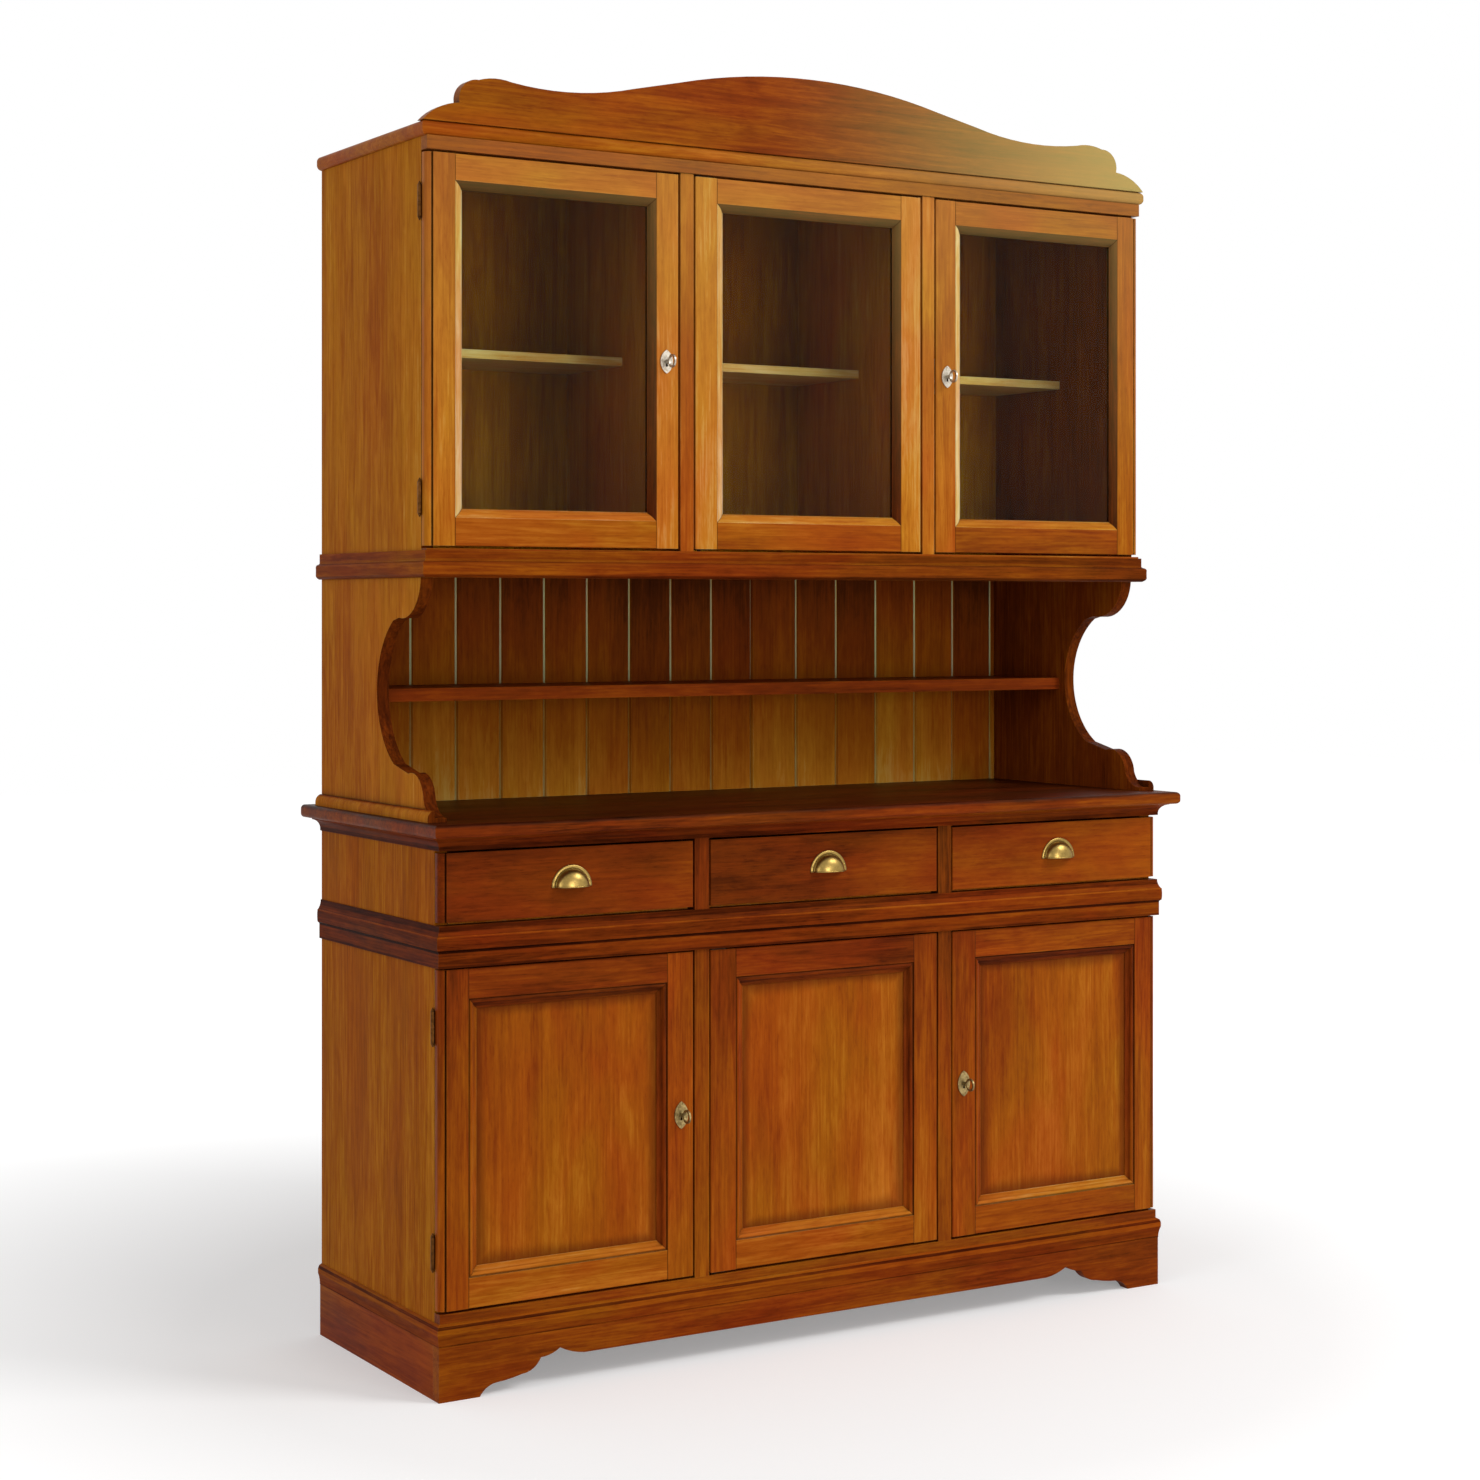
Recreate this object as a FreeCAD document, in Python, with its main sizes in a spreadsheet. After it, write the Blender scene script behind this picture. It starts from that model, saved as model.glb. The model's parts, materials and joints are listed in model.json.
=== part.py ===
"""Dresser with hutch: a three-door, three-drawer base under a glazed three-door hutch.

Millimetres, +Z up, fronts facing -Y. The origin is on the floor, under the middle of the piece.
Every board, moulding strip, door, drawer, lock and key is a sub-part with its own Label, which
names its file. Sizes come from the sheet "Dims".
"""
import FreeCAD, Part
import math
import os
import re
from FreeCAD import Placement, Rotation, Vector

doc = FreeCAD.newDocument("DresserWithHutch")
sheet = doc.addObject("Spreadsheet::Sheet", "Dims")

# ---------------------------------------------------------------- dimensions

DRIVING = {
    # carcass
    "carcass_width": 1470,
    "overall_depth": 552,
    "board": 22,
    "thin_board": 18,
    "back_board": 12,
    "front_thickness": 18,
    "seat_gap": 2,
    # levels above the floor
    "plinth_top": 88,
    "floor_low": 121,
    "floor_top": 139,
    "door_low": 143,
    "door_high": 687,
    "belt_low": 690,
    "belt_high": 757,
    "drawer_low": 762,
    "drawer_high": 873,
    "cove_low": 877,
    "top_low": 899,
    "top_high": 921,
    "display_low": 1106,
    "display_high": 1128,
    "waist_low": 1313,
    "hutch_floor_low": 1338,
    "hutch_floor_top": 1360,
    "hutch_door_low": 1364,
    "hutch_door_high": 1998,
    "frieze_low": 2002,
    "cap_low": 2024,
    "cap_high": 2048,
    "base_shelf_low": 395,
    "hutch_shelf_low": 1690,
    "hutch_shelf_high": 1705,
    # depths, measured back from the front edge of the base top
    "base_front_in": 40,
    "hutch_front_in": 90,
    "cap_front_in": 86,
    "display_front_in": 302,
    "foot_front_in": 60,
    "back_in": 521,
    "plinth_proud": 3,
    "top_side_overhang": 26,
    "cap_side_overhang": 9,
    # doors and drawers
    "base_post": 28,
    "hutch_post": 25.5,
    "post_depth": 40,
    "base_gap": 3,
    "hutch_gap": 4,
    "beaded_stile": 51,
    "base_stile": 50,
    "base_bottom_rail": 49,
    "base_top_rail": 48,
    "hutch_stile": 43,
    "hutch_bottom_rail": 46,
    "hutch_top_rail": 43,
    "panel_recess": 9,
    "panel_thick": 7,
    "glass_recess": 8,
    "glass_thick": 4,
    "glass_edge": 7,
    "bead_radius": 9,
    "bead_back": 1.5,
    "quirk": 3,
    "quirk_depth": 4,
    "eased": 2,
    "drawer_wall": 12,
    "drawer_bottom": 6,
    "drawer_box_depth": 417,
    "drawer_box_high": 862,
    "slide_gap": 0.5,
    "drawer_guide": 34,
    # locks and hinges
    "lock_inset": 24,
    "base_lock_height": 415,
    "hutch_lock_height": 1680,
    "slot_width": 3.8,
    "case_length": 36,
    "case_thick": 10,
    "case_height": 64,
    "case_depth": 4,
    "bolt_length": 14.5,
    "bolt_thick": 5.8,
    "bolt_height": 9.8,
    "bolt_lift": 10,
    "bolt_travel": 8,
    "shank_radius": 2.4,
    "running_fit": 0.1,
    "bit_reach": 8,
    "bow_radius": 11.5,
    "hinge_length": 50,
    "hinge_radius": 3.5,
    "hinge_pin_radius": 1.5,
    "hinge_out": 3.4,
    "hinge_leaf": 0.9,
    "hinge_leaf_width": 20,
    "pivot_radius": 3,
    "pivot_in": 10,
    "pivot_back": 7,
    "pivot_sunk": 8,
    # cup pulls
    "pull_half_width": 38,
    "pull_rise": 39,
    "pull_depth": 22,
    "pull_wall": 1.8,
    "pull_rim": 4,
    "pull_low": 807,
    "pull_aside": 3,
}


def worked_out(d):
    """The planes and widths that follow from the driving dimensions."""
    half = d["carcass_width"] / 2
    front_edge = -d["overall_depth"] / 2
    w = {
        "right": half,
        "inner": half - d["board"],
        "top_front": front_edge,
        "base_front": front_edge + d["base_front_in"],
        "hutch_front": front_edge + d["hutch_front_in"],
        "cap_front": front_edge + d["cap_front_in"],
        "display_front": front_edge + d["display_front_in"],
        "back": front_edge + d["back_in"],
    }
    w["back_face"] = w["back"] - d["back_board"]
    seat = d["front_thickness"] + d["seat_gap"]
    w["base_side_front"] = w["base_front"] + seat
    w["hutch_side_front"] = w["hutch_front"] + seat
    for kind in ("base", "hutch"):
        post, gap = d[kind + "_post"], d[kind + "_gap"]
        width = (d["carcass_width"] - 2 * (post + 2 * gap)) / 3
        w[kind + "_door_width"] = width
        w[kind + "_post_at"] = width / 2 + gap + post / 2
    return w


SIZES = dict(DRIVING)
SIZES.update(worked_out(DRIVING))
for row, (alias, number) in enumerate(SIZES.items(), start=1):
    sheet.set(f"A{row}", alias.replace("_", " "))
    sheet.set(f"B{row}", str(number))
    sheet.setAlias(f"B{row}", alias)
doc.recompute()


def mm(alias):
    """The number in the cell of the sheet with this alias."""
    return float(sheet.get(alias))


def bind(thing, prop, expression):
    """Binds a property to an expression written with the sheet's aliases."""
    def cell(word):
        return "Dims." + word.group() if word.group() in SIZES else word.group()

    thing.setExpression(prop, re.sub(r"[a-z_][a-z_0-9]*", cell, expression))


def negative(expression):
    return f"-({expression})"


# ---------------------------------------------------------------- ways of making pieces

NODES = []


def node(label, *pieces):
    """Names a sub-part: one object, or several solids that lie together in one node."""
    if len(pieces) == 1:
        made = pieces[0]
    else:
        made = doc.addObject("Part::Compound", label)
        made.Links = list(pieces)
    made.Label = label
    NODES.append(made)
    return made


def board(label, x, y, z):
    """A straight board between three (low, high) pairs of expressions."""
    box = doc.addObject("Part::Box", label)
    for axis, edge, (low, high) in zip("xyz", ("Length", "Width", "Height"), (x, y, z)):
        bind(box, edge, f"({high}) - ({low})")
        bind(box, f"Placement.Base.{axis}", low)
    return box


def mirrored(side, low, high):
    """The (low, high) pair on the right (side 1), or its mirror image on the left (side -1)."""
    return (low, high) if side > 0 else (negative(high), negative(low))


def cylinder(label, radius, height, base, axis=Vector(0, 0, 1)):
    """A round bar from a base point along an axis; base holds three expressions."""
    bar = doc.addObject("Part::Cylinder", label)
    bind(bar, "Radius", radius)
    bind(bar, "Height", height)
    bar.Placement = Placement(Vector(), Rotation(Vector(0, 0, 1), axis))
    for letter, expression in zip("xyz", base):
        bind(bar, f"Placement.Base.{letter}", expression)
    return bar


def cut(label, whole, *tools):
    """The first solid with the others taken out of it."""
    for number, tool in enumerate(tools):
        made = doc.addObject("Part::Cut", f"{label}_{number}")
        made.Base = whole
        made.Tool = tool
        whole = made
    return whole


def fuse(label, *pieces):
    made = doc.addObject("Part::MultiFuse", label)
    made.Shapes = list(pieces)
    made.Refine = True
    return made


def origin_plane(body, role):
    return next(f for f in body.Origin.OriginFeatures if f.Role == role)


def draw(body, role, start, steps):
    """A closed sketch on one of the body's own planes. Each step is a point to go straight to,
    or a pair of points: one that an arc passes through and the one where it ends."""
    sketch = body.newObject("Sketcher::SketchObject", body.Name + "_sketch")
    sketch.AttachmentSupport = (origin_plane(body, role), "")
    sketch.MapMode = "FlatFace"
    here = start
    for step in list(steps) + [start]:
        if isinstance(step[0], tuple):
            through, end = step
            arc = Part.Arc(Vector(*here), Vector(*through), Vector(*end))
            sketch.addGeometry(arc)
        else:
            end = step
            if math.dist(here, end) > 1e-6:
                sketch.addGeometry(Part.LineSegment(Vector(*here), Vector(*end)))
        here = end
    return sketch


def padded(label, role, start, steps, thickness, at):
    """A board cut to an outline on one plane, its thickness along the plane's positive axis
    from the place that `at` gives."""
    body = doc.addObject("PartDesign::Body", label)
    pad = body.newObject("PartDesign::Pad", label + "_pad")
    pad.Profile = draw(body, role, start, steps)
    bind(pad, "Length", thickness)
    pad.Reversed = role == "XZ_Plane"
    axis = {"XY_Plane": "z", "XZ_Plane": "y", "YZ_Plane": "x"}[role]
    bind(body, f"Placement.Base.{axis}", at)
    return body


def flat_points(profile):
    """Every point of a profile, those on its arcs too."""
    start, steps = profile
    found = [start]
    for step in steps:
        found += list(step) if isinstance(step[0], tuple) else [step]
    return found


def strip(label, profile, length, ends, place, rotation):
    """A moulded strip along its own X, planted on a wall at y = 0 and standing proud to -Y.

    profile: a start and steps as (proud, z). length: an expression, along the wall.
    ends: 1 is mitred round an outside corner, -1 into an inside corner, 0 is square.
    place: three expressions for the wall's corner where the strip begins."""
    def proud(point):
        return (-point[0], point[1])

    def proud_step(step):
        return tuple(map(proud, step)) if isinstance(step[0], tuple) else proud(step)

    reach = max(p[0] for p in flat_points(profile)) + 1
    grow = [reach if end == 1 else 0 for end in ends]
    body = doc.addObject("PartDesign::Body", label)
    section = draw(body, "YZ_Plane", proud(profile[0]), [proud_step(s) for s in profile[1]])
    section.AttachmentOffset = Placement(Vector(0, 0, -grow[0]), Rotation())
    pad = body.newObject("PartDesign::Pad", label + "_pad")
    pad.Profile = section
    bind(pad, "Length", f"{length} + {sum(grow)}")
    for end, way, at in ((ends[0], -1, "0"), (ends[1], 1, length)):
        if end == 0:
            continue
        wall = (-way * end, 1)
        outer = (way * end * reach, -reach)
        waste = (outer[0], wall[1]) if end == 1 else (wall[0], outer[1])
        mitre = draw(body, "XY_Plane", wall, [outer, waste])
        bind(mitre, "AttachmentOffset.Base.x", at)
        pocket = body.newObject("PartDesign::Pocket", label + "_mitre")
        pocket.Profile = mitre
        pocket.SideType = "Symmetric"
        pocket.Type = "ThroughAll"
    body.Placement = Placement(Vector(), rotation)
    for letter, expression in zip("xyz", place):
        bind(body, f"Placement.Base.{letter}", expression)
    return body


def round_the_carcass(label, profile, front):
    """A moulding in three mitred strips along the front and both sides of the carcass."""
    quarter = Rotation(Vector(0, 0, 1), 90)
    depth = f"back - {front}"
    return [
        strip(label + "_front", profile, "carcass_width", (1, 1), ("-right", front, "0"), Rotation()),
        strip(label + "_right", profile, depth, (1, 0), ("right", front, "0"), quarter),
        strip(label + "_left", profile, depth, (0, 1), ("-right", "back", "0"), quarter.inverted()),
    ]


def round_an_opening(label, profile, x, z, front):
    """Four mitred strips inside an opening. The profile is (how far in from the edge, depth
    behind the face)."""
    lying = Rotation(Vector(1, 0, 0), -90)
    width = f"({x[1]}) - ({x[0]})"
    height = f"({z[1]}) - ({z[0]})"
    corners = ((x[0], z[0]), (x[1], z[0]), (x[1], z[1]), (x[0], z[1]))
    strips = []
    for turn, (across, up) in enumerate(corners):
        rotation = Rotation(Vector(0, -1, 0), 90 * turn).multiply(lying)
        length = height if turn % 2 else width
        place = (across, front, up)
        strips.append(strip(f"{label}_{turn}", profile, length, (-1, -1), place, rotation))
    return strips


def ease_edges(body, radius, chosen):
    """Rounds those edges of a body for which chosen(bounding box) is true."""
    doc.recompute()
    names = [f"Edge{n}" for n, e in enumerate(body.Shape.Edges, start=1) if chosen(e.BoundBox)]
    square = body.Tip
    fillet = body.newObject("PartDesign::Fillet", body.Name + "_eased")
    fillet.Base = (square, names)
    fillet.Radius = radius


def moved(steps, way, across=0):
    """The steps of a path with their first coordinate turned by way (1 or -1) and shifted."""
    def place(step):
        if isinstance(step[0], tuple):
            return tuple(map(place, step))
        return (way * step[0] + across, step[1])

    return [place(step) for step in steps]


def backwards(start, steps):
    """The same path drawn from its far end."""
    path = []
    for step in steps:
        if isinstance(step[0], tuple):
            path.insert(0, (step[0], start))
            start = step[1]
        else:
            path.insert(0, start)
            start = step
    return start, path


def both_halves(start, steps):
    """A path from the middle to the right, with its mirror image leading up to it."""
    far, path = backwards(start, steps)
    return moved([far], -1)[0], moved(path, -1) + list(steps)


def outer_corner(beaded):
    """The front corner of a door or drawer front, from its side to its face and measured inward:
    a bead set back behind a quirk at the ends of the piece, or else just eased."""
    radius = mm("bead_radius") if beaded else mm("eased")
    back = mm("bead_back") if beaded else 0
    soft = radius * (1 - math.sqrt(0.5))
    corner = [(0, back + radius), ((soft, back + soft), (radius, back))]
    if beaded:
        far, deep = radius + mm("quirk"), mm("quirk_depth")
        corner += [(radius, deep), (far, deep), (far, 0)]
    return corner


# ---------------------------------------------------------------- base carcass

RIGHT = mm("right")
SIDES = (("left", -1), ("right", 1))
BAYS = ("left", "mid", "right")
INNER_WIDTH = ("-inner", "inner")
BEHIND_BASE_FRAME = ("base_side_front", "back_face")
BEHIND_HUTCH_FRAME = ("hutch_side_front", "back_face")


def bay_width(kind, bay):
    """The clear width of one bay, between a side and a divider or between the dividers."""
    near = f"{kind}_post_at + thin_board / 2"
    if bay == "mid":
        edge = f"{kind}_post_at - thin_board / 2"
        return (negative(edge), edge)
    return mirrored(-1 if bay == "left" else 1, near, "inner")


def plinth_outline():
    """The front board, cut away between its two bracket feet."""
    end = RIGHT + mm("plinth_proud")
    height = mm("plinth_top")
    rise = 45
    cut_away = [
        (end - 262, rise),
        ((end - 235, 51), (end - 217, 59)),
        ((end - 201, 51), (end - 182, 48)),
        ((end - 172, 35), (end - 148, 26)),
        ((end - 126, 21.5), (end - 102, 19)),
        ((end - 83, 12), (end - 72, 0)),
        (end, 0),
        (end, height),
    ]
    return both_halves((0, rise), cut_away)


def plinth():
    outer = "right + plinth_proud"
    inside = "right + plinth_proud - board"
    front_low = "base_front - plinth_proud"
    behind = "base_front - plinth_proud + board"
    start, steps = plinth_outline()
    boards = [
        padded("plinth_front", "XZ_Plane", start, steps, "board", front_low),
        board("plinth_rear", (negative(inside), inside), ("back - board", "back"), ("0", "plinth_top")),
    ]
    for side, way in SIDES:
        span = mirrored(way, inside, outer)
        boards.append(board(f"plinth_{side}", span, (behind, "back"), ("0", "plinth_top")))
    node("plinth", *boards)


def carcass_mouldings():
    """The planted mouldings: each profile is (proud of the carcass, height)."""
    plinth_profile = ((0, 124), [
        (5, 121), (7, 116), (7, 108), ((4.4, 99), (3.5, 90)), (3.5, 88), (0, 88)])
    belt_profile = ((0, 757), [
        (2, 757), ((3.1, 748.5), (6, 742)), (8, 740), ((8.6, 729.5), (8, 719)),
        (4.5, 716), (4.5, 690), (0, 690)])
    cove_profile = ((0, 877), [
        (3, 877), (3, 879), ((7.4, 891.7), (18, 897)), (18, 899), (0, 899)])
    waist_profile = ((0, 1357), [
        (4, 1357), (4, 1341), (6, 1339), ((10, 1337), (11, 1332)), (11, 1322),
        ((10.4, 1317.5), (8, 1315)), (5, 1313), (0, 1313)])
    node("plinth_moulding", *round_the_carcass("plinth_moulding", plinth_profile, "base_front"))
    node("belt_moulding", *round_the_carcass("belt_moulding", belt_profile, "base_front"))
    node("cove_moulding", *round_the_carcass("cove_moulding", cove_profile, "base_front"))
    node("waist_moulding", *round_the_carcass("waist_moulding", waist_profile, "hutch_front"))


def base_carcass():
    for side, way in SIDES:
        span = mirrored(way, "inner", "right")
        node(f"base_side_{side}", board(f"base_{side}_panel", span, ("base_side_front", "back"),
                                        ("plinth_top", "top_low")))
    node("base_floor", board("floor_board", INNER_WIDTH, BEHIND_BASE_FRAME, ("floor_low", "floor_top")))
    node("base_back", board("back_panel", INNER_WIDTH, ("back_face", "back"), ("plinth_top", "top_low")))
    deck_low = "belt_high - thin_board"
    deck = [board("deck_board", INNER_WIDTH, BEHIND_BASE_FRAME, (deck_low, "belt_high"))]
    dividers = []
    behind_posts = ("base_front + post_depth", "back_face")
    for side, way in SIDES:
        guide = mirrored(way, "base_post_at - drawer_guide / 2", "base_post_at + drawer_guide / 2")
        deck.append(board(f"drawer_guide_{side}", guide, behind_posts, ("belt_high", "top_low")))
        wall = mirrored(way, "base_post_at - thin_board / 2", "base_post_at + thin_board / 2")
        dividers.append(board(f"divider_{side}", wall, behind_posts, ("floor_top", deck_low)))
    node("drawer_deck", *deck)
    node("base_dividers", *dividers)
    node("base_shelves", *(
        board(f"base_shelf_{bay}", bay_width("base", bay), behind_posts,
              ("base_shelf_low", "base_shelf_low + thin_board"))
        for bay in BAYS))


def post(label, kind, way, z, front, strike_at=None):
    """A post between two doors, with a mortise that the lock's bolt shoots into."""
    low = f"{kind}_post_at - {kind}_post / 2"
    high = f"{kind}_post_at + {kind}_post / 2"
    upright = board(label, mirrored(way, low, high), (front, f"{front} + post_depth"), z)
    if strike_at is None:
        return upright
    play = 0.3
    middle = f"{front} + case_depth + case_thick / 2"
    mortise = board(
        label + "_strike",
        mirrored(way, f"{high} - bolt_travel + 2", f"{high} + 1"),
        (f"{middle} - bolt_thick / 2 - {play}", f"{middle} + bolt_thick / 2 + {play}"),
        (f"{strike_at} + bolt_lift - {play}", f"{strike_at} + bolt_lift + bolt_height + {play}"))
    return cut(label + "_mortised", upright, mortise)


def pivot_hole(label, kind, z_low):
    """The bore in a rail for the middle door's pivot pin."""
    place = (f"pivot_in - {kind}_door_width / 2", f"{kind}_front + pivot_back", z_low)
    return cylinder(label, "pivot_radius + running_fit / 2", "pivot_sunk + 0.5", place)


def face_frames():
    whole = ("-right", "right")
    base_depth = ("base_front", "base_side_front")
    hutch_depth = ("hutch_front", "hutch_side_front")
    pieces = [
        cut("base_bottom_rail",
            board("bottom_rail_board", whole, base_depth, ("plinth_top", "floor_top")),
            pivot_hole("bottom_pivot_bore", "base", "floor_top - pivot_sunk - 0.5")),
        cut("belt_rail",
            board("belt_rail_board", whole, base_depth, ("belt_low", "belt_high")),
            pivot_hole("belt_pivot_bore", "base", "belt_low")),
        board("base_top_rail", whole, base_depth, ("cove_low", "top_low")),
    ]
    for side, way in SIDES:
        pieces.append(post(f"door_post_{side}", "base", way, ("floor_top", "belt_low"),
                           "base_front", "base_lock_height"))
        pieces.append(post(f"drawer_post_{side}", "base", way, ("belt_high", "cove_low"), "base_front"))
    node("base_face_frame", *pieces)
    pieces = [
        cut("waist_rail",
            board("waist_rail_board", whole, hutch_depth, ("waist_low", "hutch_floor_top")),
            pivot_hole("waist_pivot_bore", "hutch", "hutch_floor_top - pivot_sunk - 0.5")),
        cut("frieze",
            board("frieze_board", whole, ("hutch_front - 2", "hutch_side_front"),
                  ("frieze_low", "cap_low")),
            pivot_hole("frieze_pivot_bore", "hutch", "frieze_low")),
    ]
    for side, way in SIDES:
        pieces.append(post(f"hutch_post_{side}", "hutch", way, ("hutch_floor_top", "frieze_low"),
                           "hutch_front", "hutch_lock_height"))
    node("hutch_face_frame", *pieces)


def base_top():
    """The worktop, its long front edge and ends softly rounded."""
    far = RIGHT + mm("top_side_overhang")
    near, rear = mm("top_front"), -mm("top_front")
    top = padded("base_top", "XY_Plane", (-far, near), [(far, near), (far, rear), (-far, rear)],
                 "top_high - top_low", "top_low")
    ease_edges(top, 7, lambda box: box.ZLength < 1 and box.YMin < rear - 1)
    node("base_top", top)


# ---------------------------------------------------------------- hutch carcass

def hutch_side_outline():
    """The side in profile as (y, z): a scrolled foot, a deep C-shaped cut that opens the display
    space, a lobe under the cupboard and then the straight front edge."""
    front = mm("base_front")
    foot = mm("foot_front_in") + mm("top_front")
    cupboard = mm("hutch_side_front")
    low, waist, high = mm("top_high"), mm("waist_low"), mm("cap_low")
    steps = [
        (foot, low),
        (foot, low + 7),
        ((front + 48, low + 15), (front + 62, low + 34)),
        ((front + 76, low + 63), (front + 120, low + 73)),
        (front + 178, low + 86),
        ((front + 245.5, waist - 191), (front + 180, waist - 70)),
        (front + 157, waist - 65),
        ((front + 93, waist - 45), (cupboard + 2, waist)),
        (cupboard, waist),
        (cupboard, high),
        (mm("back"), high),
    ]
    return (mm("back"), low), steps


def hutch_sides():
    start, steps = hutch_side_outline()
    foot_profile = ((0, 921), [(12, 921), (12, 927), ((9.5, 935), (3, 940)), (0, 940)])
    foot = "top_front + foot_front_in"
    length = "back - top_front - foot_front_in"
    quarter = Rotation(Vector(0, 0, 1), 90)
    for side, way in SIDES:
        at = mirrored(way, "inner", "right")[0]
        panel = padded(f"hutch_{side}_panel", "YZ_Plane", start, steps, "board", at)
        begin = foot if way > 0 else "back"
        turned = quarter if way > 0 else quarter.inverted()
        moulding = strip(f"hutch_{side}_foot_moulding", foot_profile, length, (0, 0),
                         (f"{way} * right", begin, "0"), turned)
        node(f"hutch_side_{side}", panel, moulding)


def matchboards():
    """Tongue-and-groove boards behind the display space, their front edges chamfered: narrow ones
    laid from the left, wider ones from the right with a last ripped-down one in the corner, and the
    widest where the two runs meet."""
    chamfer = 4
    narrow, narrow_count = 88.4, 9
    wide, wide_count = 92.6, 6
    meeting, last = 136, 13
    inner, face, rear = mm("inner"), mm("back_face"), mm("back")
    left_run = [meeting - narrow * n for n in range(narrow_count, -1, -1)]
    right_run = [inner - last - wide * n for n in range(wide_count - 1, -1, -1)]
    edges = [-inner] + left_run + right_run + [inner]
    boards = []
    for number, (edge, following) in enumerate(zip(edges, edges[1:])):
        outline = [(edge + chamfer, face), (following - chamfer, face), (following, face + chamfer),
                   (following, rear), (edge, rear)]
        boards.append(padded(f"matchboard_{number}", "XY_Plane", (edge, face + chamfer), outline,
                             "hutch_floor_top - top_high", "top_high"))
    node("matchboard_back", *boards)


def hutch_carcass():
    hutch_height = ("hutch_floor_top", "cap_low")
    node("hutch_floor", board("hutch_floor_board", INNER_WIDTH, BEHIND_HUTCH_FRAME,
                              ("hutch_floor_low", "hutch_floor_top")))
    node("hutch_back", board("hutch_back_panel", INNER_WIDTH, ("back_face", "back"), hutch_height))
    node("hutch_dividers", *(
        board(f"hutch_divider_{side}",
              mirrored(way, "hutch_post_at - thin_board / 2", "hutch_post_at + thin_board / 2"),
              ("hutch_front + post_depth", "back_face"), hutch_height)
        for side, way in SIDES))
    shelf_depth = ("display_front", "back_face")
    shelves = [board("display_shelf", INNER_WIDTH, shelf_depth, ("display_low", "display_high"))]
    for bay in BAYS:
        shelves.append(board(f"hutch_shelf_{bay}", bay_width("hutch", bay), shelf_depth,
                             ("hutch_shelf_low", "hutch_shelf_high")))
    node("hutch_shelves", *shelves)


def hutch_top():
    """The cap board with a bullnose along its front and ends."""
    far = RIGHT + mm("cap_side_overhang")
    near, rear = mm("cap_front"), mm("back")
    top = padded("hutch_top", "XY_Plane", (-far, near), [(far, near), (far, rear), (-far, rear)],
                 "cap_high - cap_low", "cap_low")
    ease_edges(top, 9, lambda box: box.ZLength < 1 and box.YMin < rear - 1)
    node("hutch_top", top)


def pediment():
    """The shaped board along the top: a wide crown, two dips, and a pair of lobes at each end."""
    low = mm("cap_high")
    half = [
        ((134, low + 129.3), (267, low + 105.5)),
        (356, low + 86),
        ((470, low + 68.5), (585, low + 74)),
        ((618, low + 77), (644, low + 72)),
        ((674, low + 57), (678, low + 32)),
        ((716, low + 21), (743, low)),
    ]
    start, steps = both_halves((0, low + 137), half)
    pieces = [padded("pediment_board", "XZ_Plane", start, steps, "board", "cap_front")]
    for number, at in enumerate((-520, -180, 180, 520)):
        pieces.append(board(f"glue_block_{number}", (f"{at} - 20", f"{at} + 20"),
                            ("cap_front + board", "cap_front + board + 20"),
                            ("cap_high", "cap_high + 40")))
    node("pediment", *pieces)


# ---------------------------------------------------------------- doors

def stile(label, edge, inward, beaded, kind, lock_height=None):
    """An upright of a door frame. Its outline starts at the outer edge and runs inward; the
    outer stiles of the end doors carry a bead with a quirk beside it."""
    thick = mm("front_thickness")
    width = mm(stile_width(kind, beaded))
    outline = moved(outer_corner(beaded) + [(width, 0), (width, thick)], inward)
    low = "door_low" if kind == "base" else "hutch_door_low"
    high = "door_high" if kind == "base" else "hutch_door_high"
    body = padded(label, "XY_Plane", (0, thick), outline, f"{high} - {low}", low)
    bind(body, "Placement.Base.x", edge)
    bind(body, "Placement.Base.y", f"{kind}_front")
    if lock_height:
        lock_mortise(body, inward, f"{lock_height} - {low}")
    return body


def lock_mortise(body, inward, height):
    """The pocket for a lock's case and the keyhole through to it, from the stile's free edge."""
    def subtract(name, x, y, z):
        tool = body.newObject("PartDesign::SubtractiveBox", f"{body.Name}_{name}")
        for axis, edge, (low, high) in zip("xyz", ("Length", "Width", "Height"), (x, y, z)):
            bind(tool, edge, f"({high}) - ({low})")
            bind(tool, f"Placement.Base.{axis}", low)

    subtract("mortise", mirrored(inward, "0", "case_length"), ("case_depth", "case_depth + case_thick"),
             (f"{height} - case_height / 2", f"{height} + case_height / 2"))
    subtract("bit_slot", mirrored(inward, "lock_inset - slot_width / 2", "lock_inset + slot_width / 2"),
             ("0", "case_depth"), (f"{height} - bit_reach - 0.6", height))
    bore = body.newObject("PartDesign::SubtractiveCylinder", body.Name + "_keyhole")
    bind(bore, "Radius", "shank_radius + running_fit")
    bind(bore, "Height", "case_depth")
    bore.Placement = Placement(Vector(), Rotation(Vector(1, 0, 0), -90))
    bind(bore, "Placement.Base.x", f"{inward} * lock_inset")
    bind(bore, "Placement.Base.z", height)


def rail(label, x, kind, z_outer, z_inner):
    """A crosspiece of a door frame, its outer front edge eased."""
    front, thick, eased = mm(f"{kind}_front"), mm("front_thickness"), mm("eased")
    inward = eased if z_inner > z_outer else -eased
    soft = 1 - math.sqrt(0.5)
    outline = [
        (front + eased, z_outer),
        ((front + eased * soft, z_outer + inward * soft), (front, z_outer + inward)),
        (front, z_inner),
        (front + thick, z_inner),
    ]
    return padded(label, "YZ_Plane", (front + thick, z_outer), outline, f"({x[1]}) - ({x[0]})", x[0])


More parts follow.
